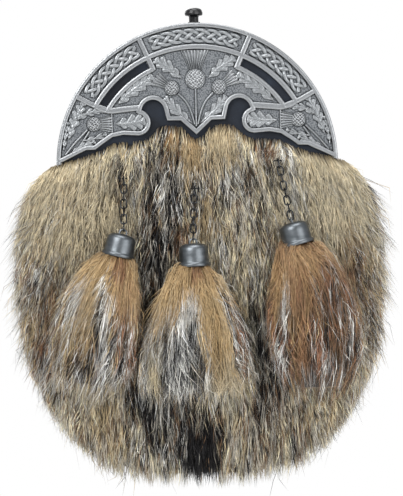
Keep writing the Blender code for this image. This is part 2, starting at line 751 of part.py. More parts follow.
def fur_form(across, down):
    """Smooth form of the fur front: across from -1 to 1, down from its upper edge to its tips."""
    turn = math.radians(90.0 * (0.75 * across + 0.25 * across ** 3))
    share = math.sin(turn)
    side = FUR_SIDE["z"][0] + (FUR_SIDE["z"][-1] - FUR_SIDE["z"][0]) * down
    half = float(np.interp(-side, [-z for z in FUR_SIDE["z"]], FUR_SIDE["half_width"]))
    top = table(FUR_TOP, "x", "z", abs(share) * FUR_TOP["x"][-1])
    bottom = table(FUR_BOTTOM, "x", "z", abs(share) * FUR_BOTTOM["x"][-1])
    edge = table(FUR_DEPTH, "down", "edge", down)
    dome = table(FUR_DEPTH, "down", "dome", down)
    return (half * share, -edge - dome * max(0.0, math.cos(turn)) ** 0.5,
            top + (bottom - top) * down)


def make_fur():
    """Hide and hair over the front, sides and bottom of the pouch, hollow where the pouch is."""
    shell = Shell()
    lines = lock_lines(shell, fur_form, FUR_COLUMNS, FUR_ROWS, FUR_LOCK, 7, False)
    across = [-1.0 + 2.0 * i / FUR_COLUMNS for i in range(FUR_COLUMNS + 1)]
    under = []
    for a in across:
        x, y, z = fur_form(a, 0.95)
        under.append((x, -FUR_DEPTH["edge"][-1] + 0.12 * (y + FUR_DEPTH["edge"][-1]), z))
    lines.append(shell.line(under))
    shell.faces += grid_faces(lines, False)

    # Inner side: flat behind the upper edge, then clear of the pouch all the way down
    lining = [{"z": row["z"], "half_width": row["half_width"] + GAP, "depth": row["depth"] + GAP}
               for row in POUCH[1:]]
    lining[-1]["z"] -= GAP
    flat = BACKING_FRONT - GAP
    inner = [shell.line((x * 1.03, flat, BACKING_BOTTOM - 1.0)
                        for x, _ in section(lining[0], whole=False))]
    inner += [shell.line((x, y, row["z"]) for x, y in section(row, whole=False)) for row in lining]
    shell.faces += grid_faces(inner, False)
    upper = shell.line((shell.points[i][0], flat, shell.points[i][2]) for i in lines[0])
    shell.faces += grid_faces([lines[0], upper], False)
    shell.faces += zip_faces(shell.points, upper, inner[0])
    for end in (0, -1):
        outer_side = [upper[end]] + [line[end] for line in lines]
        inner_side = [upper[end]] + [line[end] for line in inner]
        shell.faces += zip_faces(shell.points, outer_side, inner_side)
    shell.faces += zip_faces(shell.points, lines[-1], inner[-1])
    return add_solid("fur_body", shell.points, shell.faces, "grizzled_fur")


def resting_place(tree, x, z, half, height=3.0):
    """How far forward the fur reaches behind a thing that lies on it there."""
    reach = 0.0
    for a in np.linspace(-1.0, 1.0, 9):
        for b in np.linspace(-1.0, 1.0, 7):
            hit = tree.ray_cast(Vector((x + a * half, -150.0, z + b * height)), Vector((0, 1, 0)))
            if hit[0] is not None:
                reach = min(reach, hit[0].y)
    return reach


def make_tassel(name, spec, tree):
    """One tassel's locks and its cap, laid on the fur; gives the middle of the cap's loop."""
    rise = TASSEL_LOCK["rise"]
    rim, top = spec["cap_rim"], spec["cap_top"]
    cap_y = min(resting_place(tree, rim[0], rim[1], 9.0), resting_place(tree, top[0], top[1], 9.0))
    cap_y -= CAP_OUTSIDE[-2][0] + GAP + 0.5
    middles, halves = [], []
    for share in HEAD_SPAN:
        x, z = (a + (b - a) * share for a, b in zip(top, rim))
        middles.append(Vector((x, cap_y, z)))
        halves.append((CAP_NECK, CAP_NECK))
    for z, x, half, deep in spec["sections"]:
        lie = resting_place(tree, x, z, half * 0.9, 5.0) - deep - rise - GAP
        middles.append(Vector((x, min(lie, middles[-1].y) if z > -105 else lie, z)))
        halves.append((half, deep))

    steps = np.linspace(0.0, 1.0, len(middles))
    path = np.array([tuple(m) for m in middles])
    sizes = np.array(halves)

    def tassel_form(across, down):
        down = min(1.0, max(0.0, down))
        down = steps[1] + (1.0 - steps[1]) * down
        middle = np.array([np.interp(down, steps, path[:, k]) for k in range(3)])
        half, deep = (np.interp(down, steps, sizes[:, k]) for k in range(2))
        ahead = np.array([np.interp(min(1.0, down + 0.08), steps, path[:, k])
                          - np.interp(down - 0.08, steps, path[:, k]) for k in (0, 2)])
        ahead /= np.linalg.norm(ahead)
        turn = math.pi * across
        side = half * math.sin(turn)
        return (middle[0] - ahead[1] * side, middle[1] - deep * math.cos(turn),
                middle[2] + ahead[0] * side)

    shell = Shell()
    lines = lock_lines(shell, tassel_form, TASSEL_COLUMNS, TASSEL_ROWS, TASSEL_LOCK, len(name), True)
    axis = Vector((rim[0] - top[0], 0.0, rim[1] - top[1])).normalized()
    crown = Vector((top[0], cap_y, top[1]))
    lift = middles[0] - middles[1]
    head = shell.line(Vector(shell.points[i]) + lift for i in lines[0])
    peak = shell.line([middles[0] - axis * 0.6])[0]
    tip = shell.line([middles[-1] - Vector((0, 0, 2.0))])[0]
    shell.faces += grid_faces([head] + lines, True)
    count = TASSEL_COLUMNS
    shell.faces += [(peak, head[i], head[(i + 1) % count]) for i in range(count)]
    shell.faces += [(tip, lines[-1][i], lines[-1][(i + 1) % count]) for i in range(count)]
    add_solid("tassel_" + name, shell.points, shell.faces, "tawny_fur")

    # Metal cap, with a loop on its top that stands across the last link
    sideways = Vector((-axis.z, 0.0, axis.x))
    deepways = Vector((0.0, 1.0, 0.0))
    cap = Shell()
    turned(cap, CAP_OUTSIDE + CAP_INSIDE, CAP_SIDES,
           lambda a, b, along: crown + sideways * a + deepways * b + axis * along)
    body = add_solid("tassel_cap_" + name, cap.points, cap.faces, "gunmetal")
    spread, across = (sideways, deepways) if spec["links"] % 2 else (deepways, sideways)
    weld(body, make_loop("tassel_cap_loop_" + name, crown, -axis, spread, across, CAP_LOOP_HEIGHT))
    return crown - axis * CAP_LOOP_HEIGHT


def make_loop(name, foot, out, spread, across, height):
    """Half-round wire loop that stands out from a foot, with its ends sunk into what it is on."""
    shell = Shell()
    turns = [math.pi * i / 5 for i in range(6)]
    bow = [(LOOP_HALF * math.cos(turn), LOOP_HALF * math.sin(turn)) for turn in turns]
    base = height - LOOP_HALF
    middle = [foot + spread * LOOP_HALF - out * 0.9]
    middle += [foot + spread * a + out * (base + b) for a, b in bow]
    middle += [foot - spread * LOOP_HALF - out * 0.9]
    wire_loop(shell, middle, across, LOOP_WIRE / 2, WIRE_SIDES, False)
    return add_solid(name, shell.points, shell.faces, "gunmetal")


def make_anchor(name, spec, tree):
    """Staple that a chain hangs from, on a round foot laid on the fur."""
    x, z = spec["anchor"]
    foot = resting_place(tree, x, z, ANCHOR["radius"], ANCHOR["radius"]) - GAP
    shell = Shell()
    turned(shell, [(0.0, foot), (ANCHOR["radius"], foot),
                   (ANCHOR["radius"], foot - ANCHOR["thickness"]), (0.0, foot - ANCHOR["thickness"])],
           10, lambda a, b, along: (x + a, along, z + b))
    body = add_solid("chain_anchor_" + name, shell.points, shell.faces, "blued_steel")
    front = Vector((x, foot - ANCHOR["thickness"], z))
    out = Vector((0.0, -1.0, 0.0))
    height = ANCHOR["loop"] - ANCHOR["thickness"]
    weld(body, make_loop("chain_anchor_loop_" + name, front, out, Vector((1.0, 0.0, 0.0)),
                         Vector((0.0, 0.0, 1.0)), height))
    return front + out * height


def make_chain(name, links, start, end):
    """Oval links from a staple's loop to a cap's loop, every second one turned a quarter."""
    along = (end - start).normalized()
    rest = (LINK_WIRE + LINK_GAP) / 2
    first = start - along * rest
    pitch = ((end + along * rest) - first).length / links
    deepways = (Vector((0.0, 1.0, 0.0)) - along * along.y).normalized()
    sideways = along.cross(deepways)
    round_end = (LINK_WIDTH - LINK_WIRE) / 2
    half = pitch / 2 + rest
    for number in range(links):
        middle = first + along * pitch * (number + 0.5)
        wide, across = (deepways, sideways) if number % 2 == 0 else (sideways, deepways)
        bow = []
        for end_sign in (1, -1):
            for i in range(LINK_SIDES // 2):
                turn = math.pi * i / (LINK_SIDES // 2 - 1)
                bow.append(middle + wide * end_sign * round_end * math.cos(turn)
                           + along * end_sign * (half - round_end + round_end * math.sin(turn)))
        shell = Shell()
        wire_loop(shell, bow, across, LINK_WIRE / 2, WIRE_SIDES, True)
        add_solid(f"link_{name}_{number + 1}", shell.points, shell.faces, "blued_steel")


def main():
    clear_scene()
    make_cantle()
    make_backing()
    make_frame()
    make_catch()
    make_pouch()
    make_belt_loops()
    fur = make_fur()
    tree = BVHTree.FromPolygons([tuple((v.co / MM)) for v in fur.data.vertices],
                                [tuple(face.vertices) for face in fur.data.polygons])
    for name, spec in TASSELS.items():
        start = make_anchor(name, spec, tree)
        end = make_tassel(name, spec, tree)
        make_chain(name, spec["links"], start, end)


main()
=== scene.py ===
# A full-dress sporran: a cast pewter cantle on a black leather pouch, long grizzled fur, and three
# tassels of tawny hair in metal caps on short chains.
# Lengths are millimetres from the centre of the cantle's round edge: x right, y back, z up.
# buildMesh() moves them down to the frame's own origin and turns them to metres.

import math

import bmesh
import bpy
import numpy as np
from mathutils import Matrix, Vector
from mathutils.geometry import tessellate_polygon


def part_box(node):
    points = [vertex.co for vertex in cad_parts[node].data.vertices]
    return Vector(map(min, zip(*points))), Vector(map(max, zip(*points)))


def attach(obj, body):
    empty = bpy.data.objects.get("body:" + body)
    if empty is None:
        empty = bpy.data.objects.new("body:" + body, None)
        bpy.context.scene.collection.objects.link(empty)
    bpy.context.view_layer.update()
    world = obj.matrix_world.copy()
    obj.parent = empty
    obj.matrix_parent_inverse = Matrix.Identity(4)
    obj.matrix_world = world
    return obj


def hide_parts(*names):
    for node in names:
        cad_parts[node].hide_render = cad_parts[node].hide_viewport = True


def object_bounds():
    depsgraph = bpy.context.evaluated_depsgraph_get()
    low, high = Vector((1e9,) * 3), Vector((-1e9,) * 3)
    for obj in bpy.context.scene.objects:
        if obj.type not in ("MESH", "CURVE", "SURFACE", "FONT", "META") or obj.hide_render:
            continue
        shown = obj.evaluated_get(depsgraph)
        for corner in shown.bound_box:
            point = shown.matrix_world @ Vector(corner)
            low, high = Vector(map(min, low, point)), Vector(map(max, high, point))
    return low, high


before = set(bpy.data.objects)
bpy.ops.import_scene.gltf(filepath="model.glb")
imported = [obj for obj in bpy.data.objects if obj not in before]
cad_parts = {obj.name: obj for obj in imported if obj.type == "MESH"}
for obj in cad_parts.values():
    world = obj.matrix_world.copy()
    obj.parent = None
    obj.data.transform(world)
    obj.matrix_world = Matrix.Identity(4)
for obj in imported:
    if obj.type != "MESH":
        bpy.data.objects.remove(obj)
cadBox = [[float(v) for v in corner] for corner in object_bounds()]
print("frame loaded with", len(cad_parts), "nodes")

mm = 0.001
centreHeight = -32.0  # of the cantle's centre above the frame's origin


# Small tools

def toLinear(hexColour):
    # sRGB hex to linear light, by the sRGB curve
    srgb = np.array([int(hexColour[i:i + 2], 16) for i in (1, 3, 5)]) / 255
    linear = np.where(srgb <= 0.04045, srgb / 12.92, ((srgb + 0.055) / 1.055) ** 2.4)
    return (*[float(v) for v in linear], 1.0)


def addNode(tree, kind, settings):
    # a new shader node, or the one given, and its settings: properties, colour stops, or sockets by
    # name or number, each with a value or with the node or socket that feeds it
    node = tree.nodes.new("ShaderNode" + kind) if isinstance(kind, str) else kind
    for name, value in settings.items():
        if name == "stops":
            ramp = node.color_ramp.elements
            while len(ramp) < len(value):
                ramp.new(0.5)
            for stop, (at, colour) in zip(ramp, value):
                stop.position = at
                stop.color = toLinear(colour)
        elif isinstance(value, (bpy.types.Node, bpy.types.NodeSocket)):
            tree.links.new(getattr(value, "outputs", [value])[0], node.inputs[name])
        elif isinstance(name, str) and hasattr(node, name):
            setattr(node, name, value)
        else:
            node.inputs[name].default_value = toLinear(value) if isinstance(value, str) else value
    return node


def newMaterial(name, settings):
    # a Principled material, with the object's coordinates in millimetres for its patterns
    material = bpy.data.materials.new(name)
    material.use_nodes = True
    tree = material.node_tree
    shader = addNode(tree, tree.nodes["Principled BSDF"], settings)
    place = addNode(tree, "TexCoord", {}).outputs["Object"]
    inMm = addNode(tree, "VectorMath", {"operation": "SCALE", 0: place, "Scale": 1 / mm})
    return material, tree, shader, inMm


def interpolate(table, key, value, at):
    return np.interp(at, table[key], table[value])


def unit(vectors):
    # vectors of length one in the same directions
    return vectors / np.maximum(np.linalg.norm(vectors, axis=-1, keepdims=True), 1e-9)


def roundTurn(sides):
    # angles once round, evenly spaced
    return np.linspace(0, math.tau, sides, endpoint=False)


def signedPower(value, power):
    # the curve of a rounded box: |value|^power with the sign of the value
    return np.sign(value) * np.abs(value) ** power


def walkLine(line):
    # how far along a line each of its points lies
    return np.concatenate([[0], np.cumsum(np.linalg.norm(np.diff(line, axis=0), axis=1))])


def pointsAt(line, walk, at):
    return np.stack([np.interp(at, walk, line[:, k]) for k in range(line.shape[1])], -1)


def smoothLine(points, count):
    # Catmull-Rom curve: a cubic between neighbours, whose slope at each point is half the step
    # from the point before it to the point after it
    points = np.asarray(points, float)
    at = np.linspace(0, len(points) - 1, count)
    i = np.minimum(at.astype(int), len(points) - 2)
    t = (at - i)[:, None]
    slope = np.gradient(points, axis=0)
    return ((2 * t**3 - 3 * t**2 + 1) * points[i] + (t**3 - 2 * t**2 + t) * slope[i]
            + (3 * t**2 - 2 * t**3) * points[i + 1] + (t**3 - t**2) * slope[i + 1])


def sweep(rings, endless=False):
    # rings of points (n, m, 3), closed round each ring: quads join neighbours, and a fan of
    # triangles closes each end unless the last ring meets the first
    n, m, _ = rings.shape
    index = np.arange(n * m).reshape(n, m)
    ahead = np.roll(index, -1, axis=1)
    if endless:
        rows = [index, ahead, np.roll(ahead, -1, axis=0), np.roll(index, -1, axis=0)]
    else:
        rows = [index[:-1], ahead[:-1], ahead[1:], index[1:]]
    quads = np.stack(rows, -1).reshape(-1, 4)
    points = rings.reshape(-1, 3)
    tris = np.zeros((0, 3), int)
    if not endless:
        points = np.vstack([points, rings[0].mean(axis=0), rings[-1].mean(axis=0)])
        first = np.stack([ahead[0], index[0], np.full(m, n * m)], -1)
        last = np.stack([index[-1], ahead[-1], np.full(m, n * m + 1)], -1)
        tris = np.vstack([first, last])
    return points, quads, tris


def flipX(shapes):
    # the same shapes on the left
    return [(points * [-1, 1, 1], quads[:, ::-1], tris[:, ::-1]) for points, quads, tris in shapes]


def buildMesh(name, points, corners, sizes):
    # a mesh in the frame's metres from points in mm, the faces' corners end to end, and their sizes
    mesh = bpy.data.meshes.new(name)
    world = (points + [0, 0, centreHeight]) * mm
    mesh.vertices.add(len(world))
    mesh.vertices.foreach_set("co", world.ravel().astype(np.float32))
    mesh.loops.add(len(corners))
    mesh.loops.foreach_set("vertex_index", corners.astype(np.int32))
    mesh.polygons.add(len(sizes))
    mesh.polygons.foreach_set("loop_start", (np.cumsum(sizes) - sizes).astype(np.int32))
    mesh.update(calc_edges=True)
    return mesh


def addPiece(name, mesh, material, stands, body="sporran"):
    piece = bpy.data.objects.new(name, mesh)
    bpy.context.scene.collection.objects.link(piece)
    mesh.materials.append(material)
    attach(piece, body)
    if stands:
        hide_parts(*stands)
    return piece


def solidPiece(name, shapes, material, body="sporran", stands=(), sharp=40.0):
    # closed shapes joined in one mesh, with doubles merged and faces turned outwards
    points, corners, sizes, first = [], [], [], 0
    for shape, quads, tris in shapes:
        points.append(shape)
        corners += [quads.ravel() + first, tris.ravel() + first]
        sizes += [np.full(len(quads), 4), np.full(len(tris), 3)]
        first += len(shape)
    mesh = buildMesh(name, np.vstack(points), np.concatenate(corners), np.concatenate(sizes))
    shell = bmesh.new()
    shell.from_mesh(mesh)
    bmesh.ops.remove_doubles(shell, verts=shell.verts[:], dist=2e-6)
    bmesh.ops.recalc_face_normals(shell, faces=shell.faces[:])
    shell.to_mesh(mesh)
    shell.free()
    mesh.shade_smooth()
    mesh.set_sharp_from_angle(angle=math.radians(sharp))
    return addPiece(name, mesh, material, stands, body)


def turnedShape(profile, sides, place, hollow=False):
    # a profile of (radius, along) turned about an axis: place(a, b, along) puts it in space, and a
    # hollow one runs back to its first point
    profile, turn = np.asarray(profile, float), roundTurn(sides)[None, :]
    radius, along = profile[:, :1], profile[:, 1:] + 0 * turn
    return sweep(place(radius * np.cos(turn), radius * np.sin(turn), along), hollow)


def wireShape(middle, across, radius, sides, endless=True):
    # a round wire along middle points, with the vector across its plane
    if endless:
        ahead = np.roll(middle, -1, axis=0) - np.roll(middle, 1, axis=0)
    else:
        ahead = np.gradient(middle, axis=0)
    out, turn = unit(np.cross(ahead, across)), roundTurn(sides)[None, :, None]
    rings = middle[:, None] + radius * (out[:, None] * np.cos(turn) + across * np.sin(turn))
    return sweep(rings, endless)


def plateShape(loops, back, front):
    # a flat plate between two depths: its plan filled with triangles, and a wall along each loop
    plan = np.concatenate(loops)
    count = len(plan)
    tris = np.array(tessellate_polygon([[(x, z, 0.0) for x, z in loop] for loop in loops]))
    points = np.vstack([np.insert(plan, 1, back, axis=1), np.insert(plan, 1, front, axis=1)])
    walls, first = [], 0
    for loop in loops:
        index = first + np.arange(len(loop))
        ahead = np.roll(index, -1)
        walls.append(np.stack([index, ahead, ahead + count, index + count], -1))
        first += len(loop)
    return points, np.vstack(walls), np.vstack([tris, tris[:, ::-1] + count])


def stitchRow(line, out, pitch, length, thick):
    # short rounded stitches laid end to end along a line, standing out by half their thickness
    walk, turn = walkLine(line), roundTurn(6)[None, :, None]
    swell = (thick / 2 * np.array([0.35, 0.8, 1.0, 1.0, 0.8, 0.35]))[:, None, None]
    shapes = []
    for start in np.arange(pitch / 2, walk[-1] - length, pitch):
        middle = pointsAt(line, walk, start + length * np.array([0.0, 0.08, 0.3, 0.7, 0.92, 1.0]))
        side = np.cross(unit(middle[-1] - middle[0]), out)
        shapes.append(sweep(middle[:, None] + swell * (side * np.cos(turn) + out * np.sin(turn))))
    return shapes


# Materials

def makePewter():
    # Cast pewter, antiqued and then polished: oxide stays grey on the sunk ground, the corners at the
    # foot of the relief are nearly black, partly from dark oxide and partly as painted shade, and the
    # rims and ridges are rubbed bright.
    material, tree, shader, place = newMaterial("antiquedPewter", {"Metallic": 1.0})
    depth = addNode(tree, "SeparateXYZ", {0: place}).outputs["Y"]
    height = addNode(tree, "MapRange", {  # from 1.15 mm to 2.9 mm above the flat back
        "Value": depth, "From Min": -23.75, "From Max": -25.5})
    blotch = addNode(tree, "TexNoise", {"Scale": 1 / 5, "Detail": 3.0, "Vector": place})
    grain = addNode(tree, "TexNoise", {  # sand-cast grain under a millimetre
        "Scale": 1 / 0.75, "Detail": 3.0, "Roughness": 0.6, "Vector": place})
    corner = addNode(tree, "AmbientOcclusion", {"samples": 8, "only_local": True, "Distance": 0.9 * mm})
    shift = addNode(tree, "Math", {"operation": "MULTIPLY_ADD", 0: blotch, 1: 0.22, 2: -0.11})
    speck = addNode(tree, "Math", {"operation": "MULTIPLY_ADD", 0: grain, 1: 1.7, 2: -0.85})
    level = addNode(tree, "Math", {"operation": "ADD", 0: height, 1: shift})
    level = addNode(tree, "Math", {"operation": "ADD", 0: level, 1: speck})
    polish = addNode(tree, "ValToRGB", {0: level, "stops": [
        (0.0, "#505357"), (0.25, "#7e8184"), (0.6, "#8c8f91"), (1.0, "#a2a4a6")]})
    # painted shade and dark oxide: the colour goes nearly black where ambient occlusion finds relief
    # close round it
    oxideAndShade = addNode(tree, "MapRange", {"Value": corner.outputs["AO"], "From Min": 0.46, "From Max": 0.93,
                                       "To Min": 0.08, "To Max": 1.0})
    colour = addNode(tree, "VectorMath", {"operation": "SCALE", 0: polish, "Scale": oxideAndShade})
    rough = addNode(tree, "MapRange", {"Value": level, "To Min": 0.6, "To Max": 0.3})
    bump = addNode(tree, "Bump", {"Strength": 0.8, "Distance": 0.16 * mm, "Height": grain})
    addNode(tree, shader, {"Base Color": colour, "Roughness": rough, "Normal": bump})
    return material


def makeLeather():
    # Black dyed leather, rolled smooth: a satin face with a blue cast, fine pores and soft creases.
    material, tree, shader, place = newMaterial("dyedLeather", {"Specular IOR Level": 0.3})
    pores = addNode(tree, "TexVoronoi", {"Scale": 1 / 0.9, "feature": "F1", "Vector": place})
    crease = addNode(tree, "TexNoise", {"Scale": 1 / 14, "Detail": 5.0, "Vector": place})
    colour = addNode(tree, "ValToRGB", {0: crease, "stops": [
        (0.3, "#0d121a"), (0.55, "#171e29"), (0.75, "#242d3a")]})
    rough = addNode(tree, "MapRange", {"Value": crease, "To Min": 0.36, "To Max": 0.58})
    mix = addNode(tree, "Math", {"operation": "MULTIPLY_ADD", 0: crease, 1: 4.0, 2: pores})
    bump = addNode(tree, "Bump", {"Strength": 0.35, "Distance": 0.12 * mm, "Height": mix})
    addNode(tree, shader, {"Base Color": colour, "Roughness": rough, "Normal": bump})
    return material


def makeThread():
    # Waxed linen thread, black: a dull sheen, with its twist drawn as a fine slanting ripple.
    material, tree, shader, place = newMaterial("waxedThread", {"Roughness": 0.55})
    twist = addNode(tree, "TexWave", {"Scale": 1 / 1.4, "bands_direction": "DIAGONAL",
                                      "Vector": place}).outputs["Fac"]
    colour = addNode(tree, "ValToRGB", {0: twist, "stops": [(0.0, "#15171a"), (1.0, "#3b3f44")]})
    bump = addNode(tree, "Bump", {"Strength": 0.5, "Distance": 0.1 * mm, "Height": twist})
    addNode(tree, shader, {"Base Color": colour, "Normal": bump})
    return material


def makeMottled(name, settings, stops, rough, size, detail=4.0, skin=(0.2, 0.05), stretch=(1, 1, 1)):
    # a finish whose tone, gloss and skin wander over a pattern of a given size in mm, finer along an
    # axis by its stretch; skin is the strength and the height in mm of its bumps
    material, tree, shader, place = newMaterial(name, settings)
    squeeze = addNode(tree, "Mapping", {"Scale": stretch, "Vector": place})
    mottle = addNode(tree, "TexNoise", {"Scale": 1 / size, "Detail": detail, "Vector": squeeze})
    colour = addNode(tree, "ValToRGB", {0: mottle, "stops": stops})
    gloss = addNode(tree, "MapRange", {"Value": mottle, "To Min": rough[0], "To Max": rough[1]})
    bump = addNode(tree, "Bump", {"Strength": skin[0], "Distance": skin[1] * mm, "Height": mottle})
    addNode(tree, shader, {"Base Color": colour, "Roughness": gloss, "Normal": bump})
    return material


def makeHair(name, rough, gloss):
    # Combed guard hair: each hair has its own colour from root to tip, broken up along its length.
    material, tree, shader, place = newMaterial(name, {"Roughness": rough, "Specular IOR Level": gloss})
    tint = addNode(tree, "Attribute", {"attribute_name": "hairColour"})
    fleck = addNode(tree, "TexNoise", {"Scale": 1 / 2.2, "Detail": 2.0, "Vector": place})
    shade = addNode(tree, "MapRange", {"Value": fleck, "From Min": 0.3, "From Max": 0.7,
                                       "To Min": 0.82, "To Max": 1.16})
    colour = addNode(tree, "VectorMath", {"operation": "SCALE", 0: tint, "Scale": shade})
    addNode(tree, shader, {"Base Color": colour})
    return material


pewter = makePewter()
leather = makeLeather()
thread = makeThread()
# Stoved black enamel on brass: a soft gloss with a faint orange-peel skin.
enamel = makeMottled("stovedEnamel", {"Coat Weight": 0.25, "Coat Roughness": 0.2},
                     [(0.3, "#0e0e0f"), (0.7, "#1a1a1b")], (0.26, 0.42), 1.2, 2.0, (0.15, 0.08))
# Blued spring steel and chain: dark, with worn brighter patches.
bluedSteel = makeMottled("bluedSteel", {"Metallic": 1.0}, [(0.3, "#161617"), (0.7, "#464749")],
                         (0.22, 0.36), 3.0)
# Dark nickel plate on spun brass caps: a clear grey gloss, with faint rings from the lathe.
darkNickel = makeMottled("darkNickel", {"Metallic": 1.0}, [(0.2, "#585d60"), (0.8, "#777b7f")],
                         (0.34, 0.42), 6.0, stretch=(1, 1, 2.5))
# Plain rolled steel for the hidden frame of the mouth: satin, with a soft drawn grain along it.
rolledSteel = makeMottled("rolledSteel", {"Metallic": 1.0}, [(0.2, "#5b5e61"), (0.8, "#6f7275")],
                          (0.36, 0.46), 9.0)
grizzledHair = makeHair("grizzledHair", 0.55, 0.3)
tawnyHair = makeHair("tawnyHair", 0.48, 0.35)
print("materials made")


# The cantle

def onCircle(radius, degrees):
    # points at a radius about the cantle's centre, at angles clockwise from straight up
    turn = np.radians(degrees)
    return np.stack([radius * np.sin(turn), radius * np.cos(turn)], -1)


def arcLine(radius, start, end, step=1.5):
    return onCircle(radius, np.linspace(start, end, max(2, int(abs(end - start) / step) + 1)))


def bendLine(centre, radius, start, end, count):
    # an arc about a centre, at angles anticlockwise from +x
    turn = np.radians(np.linspace(start, end, count))[:, None]
    return centre + radius * np.hstack([np.cos(turn), np.sin(turn)])


cantle = {
    "back": -22.6, "radius": 77.3, "tip": 89.2, "ground": 1.5, "rimTop": 3.0, "foot": 0.9, "inset": 0.15,
    "bandInner": 65.6, "bandOuter": 75.0, "slotOuter": 62.7, "slotInner": 58.5, "slotSpan": (25.5, 57.2),
    "topPanel": 22.2, "sidePanel": (24.6, 58.3), "lowerRim": 2.5,
    "strandWidth": 2.65, "strandSwing": 3.2, "strandTop": 2.3, "strandRise": 0.34,
    "stemWidth": 1.6, "stemTop": 2.5,
    # the right half of the lower edge, from the middle to the tip
    "lowerEdge": np.vstack([
        [(0.0, 15.7), (8.5, 23.7), (16.0, 23.8)], bendLine((23.65, 29.2), 6.2, 163, 16, 16),
        bendLine((32.2, 23.1), 7.2, 108, 266, 20),
        [(40.3, 16.5), (46.2, 15.4), (51.4, 11.9), (55.7, 8.7), (60.9, 8.6), (76.4, 1.2)]]),
    # the rim over the slots, and the dividers on the right half: line, half width, and how far its top
    # lies below the outer rim's, so that each is a hair lower than the one that it runs into
    "slotRim": (arcLine(64.2, -60.2, 60.2), 1.42, 0.05),
    "dividers": [
        (arcLine(57.15, 23.4, 59.4), 1.38, 0.07),
        ([onCircle(r, 23.7) for r in (56.4, 66.0, 76.0)], 1.5, 0.09),
        ([(53.0, 31.7), (58.6, 34.5), (65.7, 38.4)], 1.45, 0.09),
        (smoothLine([(30.4, 31.3), (35, 31), (41, 30.5), (47.5, 30), (53.6, 32)], 14), 1.75, 0.11),
        ([(46.3, 17.6), (46.4, 28.9)], 0.5, 0.5),
    ],
    # thistles on the right half, and the middle one: the bulb's centre and radius, the crown's aim in
    # degrees from +x, its start and end from the bulb's centre, its half widths there, and its grooves
    "thistles": [((12.95, 41.6), 4.2, 32.0, (3.2, 10.6), (2.2, 4.6), 5),
                 ((56.2, 22.8), 4.1, 180.0, (3.2, 9.6), (3.2, 4.7), 6)],
    "centreThistle": ((0.0, 46.3), 5.7, 90.0, (4.6, 15.6), (3.0, 7.6), 8),
    # leaves on the right half: root, tip, half width, teeth a side, and how far the midrib bows
    "leaves": [
        ((7.0, 46.6), (21.6, 56.6), 3.7, 4, 1.2), ((2.4, 22.2), (16.2, 36.0), 3.3, 4, -0.8),
        ((43.2, 33.2), (23.4, 47.8), 4.1, 5, -1.2), ((44.6, 22.6), (28.4, 24.4), 4.6, 4, 0.4),
        ((70.6, 14.4), (61.4, 34.2), 3.1, 5, -1.0), ((66.0, 25.6), (51.6, 29.2), 2.2, 4, -1.8),
        ((70.6, 6.2), (56.2, 13.0), 2.2, 4, -0.6), ((63.4, 13.6), (50.4, 17.6), 1.6, 3, 0.8),
        ((73.4, 8.0), (70.2, 23.6), 1.7, 4, -0.5),
    ],
    "stems": [[(0.9, 21.5), (2.6, 28.0), (5.2, 33.8), (9.6, 38.6)],
              [(72.4, 6.2), (67.4, 12.2), (60.0, 19.8)], [(71.6, 5.2), (65.4, 9.8), (58.8, 18.9)]],
    "centreStem": [(0.0, 20.4), (0.0, 41.0)],
}


def mitres(line):
    # at each point of an open line, the vector to its left that keeps an offset line parallel
    ahead = unit(np.diff(line, axis=0))
    left = np.stack([-ahead[:, 1], ahead[:, 0]], -1)
    before, after = np.vstack([left[:1], left]), np.vstack([left, left[-1:]])
    corner = before + after
    return corner / np.sum(corner * before, axis=1)[:, None]


def ribbonShape(line, half, section, lift=0.0):
    # a section of (across, height) carried along a line on the cantle's face:
    # place = line + left * half * across, depth = back - height - lift
    line = np.asarray(line, float)
    half = np.broadcast_to(half, len(line))[:, None]
    lift = np.broadcast_to(lift, len(line))[:, None]
    left = mitres(line)
    rings = np.empty((len(line), len(section), 3))
    rings[..., 0] = line[:, :1] + left[:, :1] * half * section[:, 0]
    rings[..., 1] = cantle["back"] - section[:, 1] - lift
    rings[..., 2] = line[:, 1:] + left[:, 1:] * half * section[:, 0]
    return sweep(rings)


def rimSection(top):
    # a nearly flat top, top - 0.15 a^2 - 0.5 a^10, that falls away at both edges
    across, low = np.array([-1, -0.93, -0.82, -0.5, 0, 0.5, 0.82, 0.93, 1]), 0.05
    crown = np.stack([across, top - 0.15 * across**2 - 0.5 * across**10], -1)
    return np.vstack([crown, [(1.0, low), (-1.0, low)]])


def roundSection(top):
    # half an ellipse that stands on a foot sunk in the ground
    across, low = np.linspace(-1, 1, 7), cantle["foot"]
    crown = np.stack([across, low + (top - low) * np.sqrt(1 - 0.9 * across**2)], -1)
    return np.vstack([crown, [(1.0, low), (-1.0, low)]])


def rimShapes(rims):
    return [ribbonShape(line, half, rimSection(cantle["rimTop"] - lower)) for line, half, lower in rims]


def plaitShapes(start, end, units):
    # strand k swings as middle + swing sin(45 + 90 k + 90 s degrees), with s counted in units; it
    # rises over and dips under the others in turn wherever it crosses one
    middle = (cantle["bandInner"] + cantle["bandOuter"]) / 2
    margin = math.degrees(0.95 * cantle["strandWidth"] / middle)
    walk = np.linspace(0, units, 10 * units + 1)
    degrees = start + margin + (end - start - 2 * margin) * walk / units
    shapes = []
    for strand in range(4):
        wave = 45 + 90 * strand + 90 * walk
        radius = middle + cantle["strandSwing"] * np.sin(np.radians(wave))
        over = np.interp(wave % 360, [0, 45, 135, 180, 225, 315, 360], [1, -1, 1, -1, 1, -1, 1])
        lift = cantle["strandRise"] * np.sin(over * math.pi / 2)
        shapes.append(ribbonShape(onCircle(radius, degrees), cantle["strandWidth"] / 2,
                                  roundSection(cantle["strandTop"]), lift))
    return shapes


